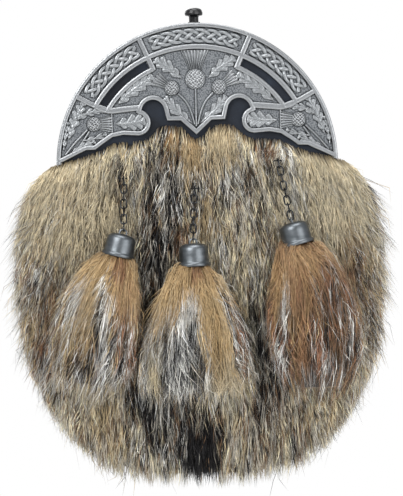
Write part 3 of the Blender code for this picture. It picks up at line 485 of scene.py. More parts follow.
def reliefShape(root, along, a, b, height):
    # a skin over the cantle's face at root + a along + b left, whose edges are sunk in the ground
    flat = root + a[..., None] * along + b[..., None] * np.array([-along[1], along[0]])
    rings = np.stack([flat[..., 0], cantle["back"] - height, flat[..., 1]], -1)
    feet = rings[:, [-1, 0]]
    feet[..., 1] = cantle["back"] - cantle["foot"]
    return sweep(np.concatenate([rings, feet], axis=1))


def leafShape(root, tip, half, teeth, bow):
    # A thistle leaf: u runs along it and v across.  The half width swells as sin(pi u) and pinches
    # in notches, 1 - |2 tooth - 1|^1.5, between lobes that sweep towards the tip; each lobe is domed
    # and has a vein cut in it, with a valley to the next, and a midrib runs up the middle.
    root, tip = np.array(root), np.array(tip)
    length = np.linalg.norm(tip - root)
    u = np.linspace(0, 1, 12 * teeth + 1)[:, None]
    v = np.linspace(-1, 1, 15)[None, :]
    tooth = (teeth * u * 0.999) % 1.0
    lobe = 1 - np.abs(2 * tooth - 1) ** 1.5
    swell = np.sin(math.pi * (0.04 + 0.93 * u)) ** 0.65
    wide = half * swell * (0.34 + 0.74 * lobe)
    a = length * (u + 1.0 / teeth * np.abs(v) ** 1.4 * swell)
    b = v * wide + bow * 4 * u * (1 - u)
    vein = np.exp(-(((tooth - 0.5) / 0.13) ** 2)) * (1 - v**4)
    rise = (0.8 * lobe - 0.75 * vein) * np.abs(v) ** 0.5 * (1 - 0.6 * v**6)
    height = 2.0 + 0.1 * (1 - v**6) + rise + 0.6 * np.exp(-((v * wide / 0.33) ** 2)) * (1 - 0.5 * u)
    return reliefShape(root, (tip - root) / length, a, b, height)


def bulbShape(bulb, radius):
    # a dome, height = edge + rise sqrt(1 - r r), set with rows of rounded scales,
    # cos(2 pi p / cell) cos(2 pi q / cell), with p and q measured on the dome and a little uneven
    r = np.concatenate([[1.0], np.linspace(1.0, 0.03, 32)])[:, None]
    turn = roundTurn(84)[None, :]
    a, b = radius * r * np.cos(turn), radius * r * np.sin(turn)
    stretch = np.arcsin(0.96 * r) / r
    p = stretch * a + 0.22 * np.sin(1.7 * b + bulb[0])
    q = stretch * b + 0.22 * np.sin(2.1 * a + bulb[1])
    cell = 1.5 + 0.13 * radius
    scale = 0.5 + 0.5 * np.cos(math.tau * p / cell) * np.cos(math.tau * q / cell)
    height = 1.6 + 1.0 * np.sqrt(np.maximum(0, 1 - r**2)) + 0.75 * scale**0.8 * (1 - 0.5 * r**8)
    height[0] = cantle["foot"]
    return sweep(np.stack([bulb[0] + a, cantle["back"] - height, bulb[1] + b], -1))


def crownShape(bulb, aim, crown, half, grooves):
    # a fan: its half width grows as u^1.3, and grooves cos(pi n v) spread towards its ragged end
    turn = math.radians(aim)
    u = np.linspace(0, 1, 9)[:, None]
    v = np.linspace(-1, 1, 8 * grooves + 1)[None, :]
    groove = np.cos(math.pi * grooves * v)
    a = crown[0] + (crown[1] - crown[0]) * u + 0.35 * groove * u**6 - 0.5 * v**2 * (1 - u)
    b = v * (half[0] + (half[1] - half[0]) * u**1.3)
    height = 2.2 + 0.2 * u + 0.27 * groove * (0.7 + 0.3 * u) - 0.25 * v**2
    height = height + 0.25 * np.exp(-(((u - 0.9) / 0.06) ** 2))
    return reliefShape(bulb, np.array([math.cos(turn), math.sin(turn)]), a, b, height)


def makeCantle():
    edge, tip, top = cantle["lowerEdge"], cantle["tip"], cantle["topPanel"]
    whole = np.vstack([(edge * [-1, 1])[:0:-1], edge])
    rim = arcLine(cantle["radius"] - cantle["inset"], tip, -tip)
    plan = [np.vstack([whole + cantle["inset"] * mitres(whole), rim])]
    for side in (1, -1):
        span = [side * a for a in cantle["slotSpan"]]
        slot = [arcLine(cantle["slotOuter"], *span), arcLine(cantle["slotInner"], *span[::-1])]
        plan.append(np.vstack(slot))
    shapes = [plateShape(plan, cantle["back"], cantle["back"] - cantle["ground"])]

    outer = (cantle["radius"] + cantle["bandOuter"]) / 2
    shapes += rimShapes([
        (arcLine(outer, -tip, tip), (cantle["radius"] - cantle["bandOuter"]) / 2, 0.0),
        (whole + mitres(whole) * cantle["lowerRim"] / 2, cantle["lowerRim"] / 2, 0.03),
        cantle["slotRim"]])
    right = rimShapes(cantle["dividers"]) + plaitShapes(*cantle["sidePanel"], 6)
    right += [leafShape(*leaf) for leaf in cantle["leaves"]]
    stemHalf, stem = cantle["stemWidth"] / 2, roundSection(cantle["stemTop"])
    right += [ribbonShape(smoothLine(line, 18), stemHalf, stem) for line in cantle["stems"]]
    right += [bulbShape(*thistle[:2]) for thistle in cantle["thistles"]]
    right += [crownShape(thistle[0], *thistle[2:]) for thistle in cantle["thistles"]]
    shapes += right + flipX(right) + plaitShapes(-top, top, 8)
    shapes.append(ribbonShape(cantle["centreStem"], stemHalf, stem))
    middle = cantle["centreThistle"]
    shapes += [bulbShape(*middle[:2]), crownShape(middle[0], *middle[2:])]
    solidPiece("cantleCasting", shapes, pewter, stands=["cantle"])


makeCantle()
print("cantle made")


# The leather board, the frame and the push button

board = {"radius": 74.6, "bottom": -5.0, "back": -20.3, "front": -22.3, "edge": 0.6}
mouth = {"inner": 70.0, "outer": 73.0, "round": 0.5, "steps": 121}
# profiles as (radius, height)
catch = {
    "depth": -11.0, "sides": 40,
    "collar": [(3.0, 73.3), (4.6, 73.3), (4.6, 73.9), (4.4, 74.3), (3.8, 74.9), (3.5, 75.6),
               (3.5, 77.9), (3.35, 78.2), (3.1, 78.2), (3.0, 78.0)],
    "knob": [(0.01, 76.3), (2.6, 76.3), (2.6, 80.9), (2.8, 81.4), (3.3, 81.75), (4.3, 81.8),
             (4.75, 82.1), (4.9, 82.6), (4.9, 83.5), (4.78, 83.9), (4.62, 84.0), (4.62, 84.25),
             (4.5, 84.7), (4.0, 85.3), (3.0, 85.8), (1.6, 86.05), (0.01, 86.1)],
}


def upright(a, b, along):
    return np.stack([a, catch["depth"] + b, along], -1)


def makeBoard():
    half = [(board["radius"], board["bottom"]), (-board["radius"], board["bottom"])]
    plan = np.vstack([arcLine(board["radius"], -90, 90, 2.0), half])
    piece = solidPiece("leatherBoard", [plateShape([plan], board["back"], board["front"])], leather,
                       stands=["cantle_backing"])
    bevel = piece.modifiers.new("roundedEdge", "BEVEL")
    bevel.width = board["edge"] * mm
    bevel.segments = 3
    bevel.limit_method = "ANGLE"


def makeMouth():
    # a half-round band of steel: a rounded box of radius and depth carried round the arc
    low, high = (corner[1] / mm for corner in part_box("purse_frame"))
    turn = np.radians(np.linspace(-90, 90, mouth["steps"]))[:, None]
    bend = np.radians(np.arange(0, 360, 22.5) + 11.25)
    middle, half = (mouth["inner"] + mouth["outer"]) / 2, (mouth["outer"] - mouth["inner"]) / 2
    radius = middle + np.sign(np.cos(bend)) * (half - mouth["round"]) + mouth["round"] * np.cos(bend)
    reach = (high - low) / 2 - mouth["round"]
    depth = (low + high) / 2 + np.sign(np.sin(bend)) * reach + mouth["round"] * np.sin(bend)
    rings = np.stack([radius * np.sin(turn), depth + 0 * turn, radius * np.cos(turn)], -1)
    solidPiece("steelMouth", [sweep(rings)], rolledSteel, stands=["purse_frame"])


makeBoard()
makeMouth()
solidPiece("catchCollar", [turnedShape(catch["collar"], catch["sides"], upright, True)], enamel,
           stands=["knob_collar"])
solidPiece("pushButton", [turnedShape(catch["knob"], catch["sides"], upright)], enamel,
           body="push_button", stands=["knob"])
for side in ("left", "middle", "right"):  # the CAD staples stay, under the hair
    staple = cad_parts["chain_anchor_" + side].data
    staple.materials.clear()
    staple.materials.append(bluedSteel)
print("board, mouth and button made")


# The pouch and its belt loops

pouch = {
    "mouth": -0.5, "leather": 2.0, "panelFoot": -1.3, "squareness": 4.2, "domeRadius": 72.6,
    "panelClear": 0.3, "panelMiddle": (0.0, -35.0), "panelSteps": 180,
    # height, half width and depth of each level
    "rows": [(-0.5, 73.0, 19.9), (-14, 75.5, 20.0), (-32, 79.0, 28.0), (-60, 81.0, 33.0),
             (-90, 79.0, 34.0), (-115, 70.0, 31.0), (-132, 54.0, 25.0), (-141, 34.0, 17.0)],
    "seamInset": 4.0, "stitch": {"pitch": 3.6, "length": 2.7, "thick": 0.75},
}
beltLoop = {
    "x": 34.0, "width": 18.0, "thick": 2.0,
    # the strap's middle line from the side, as (y, z)
    "path": [(1.3, 53.0), (1.3, 48.0), (1.5, 44.2), (4.0, 41.6), (7.0, 39.4), (7.3, 36.0),
             (7.3, 28.0), (7.0, 24.6), (4.0, 22.0), (1.5, 19.8), (1.3, 16.0), (1.3, 11.0)],
    # two rows of stitches across each end
    "seams": (51.0, 47.2, 17.0, 13.2), "seamHalf": 6.5, "seamDepth": 2.3,
    "stitch": {"pitch": 3.2, "length": 2.4, "thick": 0.75},
}


def bagSection(half, depth, back):
    # one level of the bag: a flat back, and a front that follows |x|^n + |y|^n = 1
    turn = np.linspace(0, math.pi, 41)
    power = 2 / pouch["squareness"]
    x = half * signedPower(np.cos(turn), power)
    y = back - (depth + back) * np.abs(np.sin(turn)) ** power
    flat = np.linspace(-half, half, 14)[1:-1]
    return np.vstack([np.stack([x, y], -1), np.stack([flat, np.full(len(flat), back)], -1)])


def bagShape():
    # the bag's wall goes up its inside, over the lip of the mouth, and down its outside
    rows = smoothLine(pouch["rows"], 30)
    wall = pouch["leather"]
    inner = [(max(z, rows[-1][0] + wall), half - wall, depth - wall, pouch["panelFoot"] - wall)
             for z, half, depth in rows[::-1]]
    outer = [(z, half, depth, pouch["panelFoot"]) for z, half, depth in rows]
    rings = []
    for z, half, depth, back in inner + outer:
        level = bagSection(half, depth, back)
        rings.append(np.insert(level, 2, z, axis=1))
    return sweep(np.array(rings))


def backOutline(inset):
    # the back panel's edge: a half circle above the mouth, and the pouch's width below it
    rows = smoothLine(pouch["rows"], 60)
    z, half = rows[:, 0], rows[:, 1] - inset - pouch["panelClear"]
    right = np.stack([half, z + 0 * half], -1)
    right[-8:, 1] += inset * np.linspace(0, 1, 8)  # so that the inset line keeps off the floor too
    dome = onCircle(pouch["domeRadius"] - inset, np.linspace(-90, 90, 70)) + [0, pouch["mouth"]]
    across = np.linspace(right[-1, 0], -right[-1, 0], 14)[1:-1]
    floor = np.stack([across, np.full(len(across), right[-1, 1])], -1)
    loop = np.vstack([dome[:-1], right, floor, (right * [-1, 1])[::-1]])
    walk = walkLine(loop)
    return pointsAt(loop, walk, np.linspace(0, walk[-1], pouch["panelSteps"], endpoint=False))


def backPanelShape():
    # rings that shrink from the panel's rounded edge to its middle, with a slight hollow and waves
    edge = backOutline(0.0)
    middle = np.array(pouch["panelMiddle"])
    front = [(s, -pouch["leather"]) for s in (0.02, 0.5, 0.9, 0.975)]
    lip = [(0.992, -1.75), (1.0, -1.1), (0.995, -0.4), (0.985, -0.12)]
    back = [(s, 0.0) for s in (0.97, 0.93, 0.88, 0.8, 0.65, 0.5, 0.35, 0.2, 0.1, 0.02)]
    rings = []
    for share, y in front + lip + back:
        plan = middle + (edge - middle) * share
        ripple = 0.16 * (np.sin(plan[:, 0] / 11) * np.cos(plan[:, 1] / 15 + 1) - 1)
        depth = y + (ripple * (1 - share**6) if y == 0.0 else 0.0)
        rings.append(np.stack([plan[:, 0], np.broadcast_to(depth, len(plan)), plan[:, 1]], -1))
    return sweep(np.array(rings))


def strapShape(x, path, width, thick):
    # a strap's rounded cross-section carried along its path, seen from the side
    path = smoothLine(path, 60)
    ahead, turn = unit(np.gradient(path, axis=0)), roundTurn(24)
    out = np.stack([ahead[:, 1], -ahead[:, 0]], -1)
    across = width / 2 * signedPower(np.cos(turn), 0.12)
    rise = thick / 2 * signedPower(np.sin(turn), 0.5)
    rings = np.empty((len(path), 24, 3))
    rings[..., 0] = x + across
    rings[..., 1] = path[:, :1] + out[:, :1] * rise
    rings[..., 2] = path[:, 1:] + out[:, 1:] * rise
    return sweep(rings)


def makePouch():
    solidPiece("pouchBag", [bagShape(), backPanelShape()], leather,
               stands=["pouch"], sharp=50)
    out = np.array([0.0, 1.0, 0.0])
    seam = backOutline(pouch["seamInset"])
    stitches = stitchRow(np.insert(np.vstack([seam, seam[:1]]), 1, 0.0, axis=1), out, **pouch["stitch"])
    for side, name in ((-1, "left"), (1, "right")):
        x, half, depth = side * beltLoop["x"], beltLoop["seamHalf"], beltLoop["seamDepth"]
        strap = strapShape(x, beltLoop["path"], beltLoop["width"], beltLoop["thick"])
        solidPiece("beltLoop_" + name, [strap], leather, stands=["belt_loop_" + name])
        for z in beltLoop["seams"]:
            row = np.array([(x - half, depth, z), (x + half, depth, z)])
            stitches += stitchRow(row, out, **beltLoop["stitch"])
    solidPiece("pouchStitches", stitches, thread)


makePouch()
print("pouch and belt loops made")


# Chains and caps

chain = {"wire": 0.86, "steps": 28, "sides": 8}
caps = {
    "left": {"top": (-41.4, -37.9), "rim": (-44.6, -50.2), "sideways": True},
    "middle": {"top": (-3.2, -43.9), "rim": (-2.9, -56.7), "sideways": True},
    "right": {"top": (50.9, -33.8), "rim": (54.0, -46.0), "sideways": False},
    "profile": [(0.01, 0.0), (2.2, 0.05), (4.4, 0.3), (6.0, 0.8), (7.1, 1.6), (7.7, 2.7), (7.95, 4.2),
                (8.05, 6.5), (8.2, 10.0), (8.35, 10.5), (8.75, 10.8), (8.95, 11.3), (9.0, 11.9),
                (8.8, 12.5), (8.3, 12.8), (7.6, 12.7), (7.1, 12.2), (6.6, 4.4), (4.0, 2.4), (0.01, 1.7)],
    "loopWire": 0.95, "loopHalf": 1.9, "loopHeight": 2.4, "loopSunk": 0.9,
}


def meshPoints(mesh):
    # a mesh's corners in mm about the cantle's centre
    points = np.empty(len(mesh.vertices) * 3, np.float32)
    mesh.vertices.foreach_get("co", points)
    return points.reshape(-1, 3).astype(float) / mm - [0, 0, centreHeight]


def linkShape(node):
    # an oval ring, two half circles and two straights, on the long and wide axes of the node
    points = meshPoints(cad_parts[node].data)
    axes = np.linalg.svd(points - points.mean(axis=0), full_matrices=False)[2]
    spans = [np.ptp(points @ axis) for axis in axes]
    middle = sum(axis * ((points @ axis).max() + (points @ axis).min()) / 2 for axis in axes)
    wide = (spans[1] - chain["wire"]) / 2
    straight = (spans[0] - chain["wire"]) / 2 - wide
    turn = roundTurn(chain["steps"])
    a = wide * np.sin(turn) + straight * np.sign(np.sin(turn + 1e-9))
    oval = middle + a[:, None] * axes[0] + (wide * np.cos(turn))[:, None] * axes[1]
    return wireShape(oval, axes[2], chain["wire"] / 2, chain["sides"])


def capPlace(name, share=0.0):
    # a place on the axis of a tassel's cap, from its top to its rim
    low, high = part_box("tassel_cap_" + name)
    x, z = (a + (b - a) * share for a, b in zip(caps[name]["top"], caps[name]["rim"]))
    return np.array([x, (low[1] / mm + high[1] / mm) / 2, z])


def makeCap(name):
    crown, deep = capPlace(name), np.array([0.0, 1.0, 0.0])
    axis = unit(capPlace(name, 1.0) - crown)
    side = np.array([-axis[2], 0.0, axis[0]])

    def place(a, b, along):
        return crown + a[..., None] * side + b[..., None] * deep + along[..., None] * axis

    spread, across = (side, deep) if caps[name]["sideways"] else (deep, side)
    turn, half = np.linspace(0, math.pi, 13)[:, None], caps["loopHalf"]
    base = caps["loopHeight"] - half
    bow = crown + spread * half * np.cos(turn) - axis * (base + half * np.sin(turn))
    foot = [crown + s * spread * half + axis * caps["loopSunk"] for s in (1, -1)]
    loop = wireShape(np.vstack([foot[:1], bow, foot[1:]]), across, caps["loopWire"] / 2, 8, False)
    solidPiece("cap_" + name, [turnedShape(caps["profile"], 48, place), loop], darkNickel,
               stands=["tassel_cap_" + name])


for name in ("left", "middle", "right"):
    links = sorted(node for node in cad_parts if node.startswith(f"link_{name}_"))
    for node in links:
        solidPiece("chain" + node[4:], [linkShape(node)], bluedSteel, stands=[node])
    makeCap(name)
print("chains and caps made")


# The fur

# Hair colours at the root, half way and at the tip; the darker roots are partly the hair's own tone and
# partly painted shade
hairTones = {
    "cream": ("#a3926f", "#e3d4b1", "#f0e7cd"),
    "sand": ("#80694d", "#c0a981", "#d4c19c"),
    "gold": ("#80633f", "#b69464", "#cbaf82"),
    "rust": ("#5a3d2b", "#90664b", "#ab8164"),
    "ash": ("#68615a", "#b3ac9f", "#d2cdc1"),
    "brown": ("#3f3126", "#7a6048", "#987b5e"),
    "black": ("#0d0d0e", "#1b1a1b", "#272526"),
    "white": ("#858075", "#e8e6de", "#fbfaf6"),
    "pepper": ("#1f1b19", "#cbc5b7", "#191716"),
}
toneNames = list(hairTones)
calmTones = [toneNames.index(tone) for tone in ("cream", "sand", "gold", "rust")]
tonePalette = np.array([[toLinear(stop)[:3] for stop in hairTones[tone]] for tone in toneNames])

# Where the coat changes colour: a base mix, then soft-edged patches painted over it in turn, each with
# its middle in x and z, its half width and half height, and its mix of tones
furChart = {"base": "cream 36 sand 10 ash 26 brown 9 black 9 white 8 pepper 4", "patches": [
    # smooth pale shoulders
    (-72, -26, 34, 28, "cream 66 sand 22 ash 8 brown 2"),
    (-76, -14, 20, 18, "cream 76 gold 16 white 8"),
    (74, -28, 34, 32, "cream 68 sand 18 ash 8 brown 2 white 6"),
    (54, -22, 5, 22, "ash 50 white 26 cream 25"),
    (-72, -78, 24, 24, "cream 38 sand 16 ash 26 brown 8 black 4 white 9"),
    # darker, redder flanks
    (-92, -88, 9, 40, "sand 26 rust 12 brown 24 ash 20 black 13 white 7"),
    (92, -88, 9, 40, "sand 34 rust 10 brown 12 ash 20 cream 10 black 6 white 14"),
    (84, -58, 6, 18, "sand 40 rust 22 brown 22 cream 12"),
    # tufts and dark patches that break up the flanks, some of them painted shadow beside the tassels
    (-78, -88, 6, 15, "rust 30 brown 30 sand 22 black 18"),
    # mostly painted shadow at the left edge of the left tassel
    (-73, -76, 3.5, 8, "black 48 brown 22 white 20 ash 10"),
    (-90, -66, 5, 9, "black 30 brown 30 ash 24 white 16"),
    (-88, -104, 5, 12, "black 36 rust 20 brown 26 white 18"),
    (-79, -122, 7, 8, "black 30 white 22 ash 26 brown 22"),
    (-66, -146, 7, 10, "black 20 brown 24 ash 30 cream 26"),
    (87, -66, 4, 18, "rust 26 brown 28 sand 26 black 20"),
    # mostly painted shadow at the right edge of the right tassel
    (73, -74, 4, 12, "black 30 brown 28 sand 26 white 16"),
    (94, -92, 4, 14, "black 44 brown 22 white 20 ash 14"),
    # its black is partly painted shadow beside the right tassel
    (80, -116, 6, 13, "black 36 ash 26 cream 22 brown 16"),
    (66, -148, 6, 9, "black 40 brown 24 ash 24 cream 12"),
    # speckled grey between the tassels
    (30, -50, 15, 44, "cream 38 sand 14 ash 27 brown 6 black 9 white 7 pepper 5"),
    # its black is partly painted shadow between the middle and right tassels
    (37, -100, 11, 30, "ash 28 black 38 brown 10 white 8 cream 8 pepper 8"),
    # dark streak down from the middle of the upper edge
    (-18, -12, 11, 32, "black 46 white 9 ash 18 brown 12 sand 6 pepper 14"),
    (-24, -56, 10, 30, "black 50 white 10 ash 18 brown 12 pepper 12"),
    # its black is partly painted shadow between the left and middle tassels
    (-29, -104, 8, 34, "black 72 white 6 ash 8 brown 8 pepper 6"),
    # lower middle, salt and pepper
    (-26, -140, 24, 26, "black 47 ash 20 white 14 brown 10 cream 6 pepper 12"),
    (-54, -146, 12, 20, "sand 34 cream 26 brown 20 ash 20 black 6"),
    (44, -150, 34, 22, "ash 42 cream 22 brown 18 black 11 sand 8"),
    (34, -132, 9, 14, "black 46 ash 24 brown 24"),
    (72, -128, 16, 14, "sand 30 ash 26 brown 24 black 14 cream 12"),
    # tawny tufts and shadows at the upper edge
    (-13.5, 13, 2.6, 7, "gold 60 rust 24 sand 16"),
    (-3, 3, 6.5, 11, "gold 58 cream 22 sand 20 black 3"),
    (-2, -14, 7, 8, "white 18 ash 36 sand 22 black 24"),
    (14, 8, 8, 14, "gold 30 cream 60 sand 10"),
    (15, -13, 8, 9, "ash 34 black 26 cream 20 white 12 brown 10"),
    (4, -32, 5, 12, "gold 34 sand 34 cream 20 black 10"),
    (-10, -44, 4, 8, "rust 46 gold 24 brown 24"),
    (30, -9, 3, 9, "black 48 ash 28 brown 24"),
    (39, 5, 5, 5, "brown 44 ash 34 rust 14 black 8"),
    (-41, -16, 3, 12, "brown 30 black 26 sand 24 rust 12"),
    # black patch at the middle of the lower edge
    (-1.5, -160, 12.5, 22, "black 90 brown 5 ash 5"),
]}

# The coat's outline in tables: its upper edge, its sides from the top down, and its lower edge; then
# how far forward its edge stands and its middle bulges, as one goes down; then where chains hang
fur = {
    "top": {"x": [0.0, 2.5, 8.0, 14.0, 20.0, 24.5, 29.0, 46.0, 51.0, 59.0, 67.0, 76.0, 81.0],
            "z": [12.0, 12.4, 18.0, 19.2, 18.8, 14.6, 11.4, 10.2, 7.2, 4.4, 2.2, 0.2, -1.6]},
    "side": {"below": [1.6, 7.0, 18.0, 29.0, 45.0, 78.0, 100.0, 111.0, 122.0, 131.0],
             "half": [80.5, 86.0, 90.4, 93.6, 96.4, 95.2, 92.4, 89.0, 83.0, 77.5]},
    "bottom": {"x": [0.0, 25.0, 50.0, 58.0, 70.0, 76.0, 80.5],
               "z": [-177.0, -177.5, -171.0, -165.5, -154.0, -143.5, -131.0]},
    "depth": {"down": [0.0, 0.08, 0.2, 0.35, 0.55, 0.75, 0.9, 1.0],
              "edge": [22.9, 18.0, 11.0, 8.0, 8.0, 8.0, 8.0, 8.0],
              "dome": [1.4, 8.5, 22.0, 31.0, 36.0, 36.0, 29.0, 16.0]},
    "anchors": [(-40.4, -6.5, 7.0), (-1.9, -13.0, 5.0), (44.3, 1.2, 6.0)], "swell": 7.0,
    "suede": "#7a6c58", "suedeFrom": -0.15, "shade": 0.35, "hide": 2.6, "hideSpan": (0.012, 0.97),
    "liningTop": -6.0, "liningDepth": -22.6, "clear": 0.3, "seed": 11, "streakSeed": 7,
}


def furForm(across, down):
    # smooth front of the coat: x = half width sin(turn), y = -edge - dome sqrt(cos(turn)), and z
    # from its upper edge to its tips, with turn = 90 degrees (0.75 across + 0.25 across^3); past
    # its sides it runs straight outwards
    beyond = across - np.clip(across, -1, 1)
    across = across - beyond
    turn = np.radians(90 * (0.75 * across + 0.25 * across**3))
    share = np.sin(turn)
    below, half = fur["side"]["below"], fur["side"]["half"]
    wide = np.interp(below[0] + (below[-1] - below[0]) * down, below, half)
    top = interpolate(fur["top"], "x", "z", np.abs(share) * fur["top"]["x"][-1])
    bottom = interpolate(fur["bottom"], "x", "z", np.abs(share) * fur["bottom"]["x"][-1])
    edge = interpolate(fur["depth"], "down", "edge", down)
    dome = interpolate(fur["depth"], "down", "dome", down)
    return np.stack([wide * (share + beyond), -edge - dome * np.sqrt(np.maximum(np.cos(turn), 0)),
                     top + (bottom - top) * down], -1)


def formNormal(form, across, down):
    # square to the two slopes of the form, which are taken by small differences
    acrossSlope = form(across + 0.012, down) - form(across - 0.012, down)
    downSlope = form(across, down + 0.012) - form(across, down - 0.012)
    return unit(np.cross(downSlope, acrossSlope))


def coatForm(across, down):
    # the coat's form as the hair lies on it, lifted over the anchor of each chain in a round swell
    place = furForm(across, down)
    for x, z, rise in fur["anchors"]:
        away = np.hypot(place[..., 0] - x, place[..., 2] - z) / fur["swell"]
        place[..., 1] -= rise * np.exp(-away**2)
    return place


def mixShares(text):
    # a mix such as "cream 66 sand 22" as each tone's share of the whole
    words = text.split()
    found = np.zeros(len(toneNames))
    for tone, share in zip(words[::2], words[1::2]):
        found[toneNames.index(tone)] = float(share)
    return found / found.sum()


def chartMix(chart, x, z):
    # the share of each tone at each place: the base, then each patch by its soft mask, which is full
    # within 0.78 of its size and gone past 1.22 of it
    mix = np.tile(mixShares(chart["base"]), (len(x), 1))
    for patchX, patchZ, wide, tall, text in chart["patches"]:
        reach = np.hypot((x - patchX) / wide, (z - patchZ) / tall)
        mask = np.clip((1.22 - reach) / 0.44, 0, 1)[:, None]
        mix = mix * (1 - mask) + mixShares(text) * mask
    return mix


def calmShare(mix):
    # 0 to 1 as the share of cream, sand, gold and rust in a mix goes from 0.45 to 0.8
    return np.clip((mix[:, calmTones].sum(axis=1) - 0.45) / 0.35, 0, 1)


def streakDraws(columns, rows, shared):
    # one draw for each streak of the coat, some of them shared with a broader streak round it
    rng = np.random.default_rng(fur["streakSeed"])
    fine = rng.random((columns, rows + 1))
    broad = rng.random((columns // 4 + 1, rows // 2 + 1)).repeat(4, axis=0).repeat(2, axis=1)
    return np.where(rng.random(fine.shape) < shared, broad[:columns, :rows + 1], fine)


def layerStyles(table, **changes):
    # each layer and its style: what hair starts from, its column of the table, then the changes
    for column, layer in enumerate(table["layer"]):
        yield layer, {**hairBase, **{key: row[column] for key, row in table.items()}, **changes}


def hairShape(line, out, thick):
    # three flat sides round each hair's line, full at 0.55 of its length and thinned to a point
    count, stations = line.shape[:2]
    ahead = unit(np.gradient(line, axis=1))
    beside = unit(np.cross(ahead, out))
    above = np.cross(beside, ahead)
    taper = np.interp(np.linspace(0, 1, stations)[:-1], [0, 0.55, 1], [0.85, 1.0, 0.15])
    turn = math.pi / 2 + math.tau / 3 * np.arange(3)
    outward = beside[:, :-1, None] * np.cos(turn)[:, None]
    outward = outward + 0.8 * above[:, :-1, None] * np.sin(turn)[:, None]
    ring = line[:, :-1, None] + (taper[None, :] * thick[:, None])[..., None, None] * outward
    return np.concatenate([ring.reshape(count, -1, 3), line[:, -1:]], axis=1)


def hairColours(style, chart, line, places, wander, rng):
    # A hair takes its tone, at each ring, from the mix of the chart there: by the draw of the streak
    # that it lies in, the same in every layer, or for some hairs by a draw of its own.  Where the
    # mix is mostly cream, sand, gold or rust, the hairs keep close to its mean.
    count, stations = line.shape[:2]
    columns, rows = style["streaks"]
    streaks = streakDraws(columns, rows, style["shared"])
    shares = rng.random(count) < style["tuft"]
    ownDraw, blur = rng.random(count), rng.normal(0, style["smear"], count)
    shift = style["blur"] * (1.5 * wander[:, :2] + rng.normal(0, 0.5, (count, 2)))
    # painted shade: lockToneAndShade darkens locks that lie lower and lightens those that stand higher,
    # since heave and rise use the same draw; it also gives each lock its own tone
    uneven = rng.normal(0, style["varied"], count) + style["lockToneAndShade"] * wander[:, 4]
    colours = np.empty((count, stations, 3))
    for k, share in enumerate(np.linspace(0, 1, stations)):
        across, down = places[k]
        mix = chartMix(chart, line[:, k, 0] + shift[:, 0], line[:, k, 2] + 2 * shift[:, 1])
        column = np.clip((across + 1) / 2 * columns + blur, 0, columns - 1).astype(int)
        row = np.clip(down * rows + streaks[column, 0], 0, rows).astype(int)
        draw = np.where(shares, streaks[column, row], ownDraw)
        tone = np.minimum((draw[:, None] > np.cumsum(mix, axis=1)).sum(axis=1), len(toneNames) - 1)
        at = 2 * min(1.15 * share, 1)
        lower = min(int(at), 1)
        tones = tonePalette[:, lower] * (1 - at + lower) + tonePalette[:, lower + 1] * (at - lower)
        calm = calmShare(mix)
        blend = tones[tone] + 0.72 * calm[:, None] * (mix @ tones - tones[tone])
        # painted shade: each hair darkens towards its root, down to rootShade of its colour there, and
        # less so where the mix is calm
        light = np.interp(share, [0.3, 1], [0.85, 1])
        deep = (1 - 0.6 * calm) * (light - style["rootShade"]) * max(1 - share / 0.3, 0)
        bright = np.exp(uneven * (1 - 0.75 * calm)) * (light - deep)
        colours[:, k] = blend * bright[:, None]
    colours = colours[:, np.append(np.repeat(np.arange(stations - 1), 3), stations - 1)]
    return np.clip(colours, 0, 1)


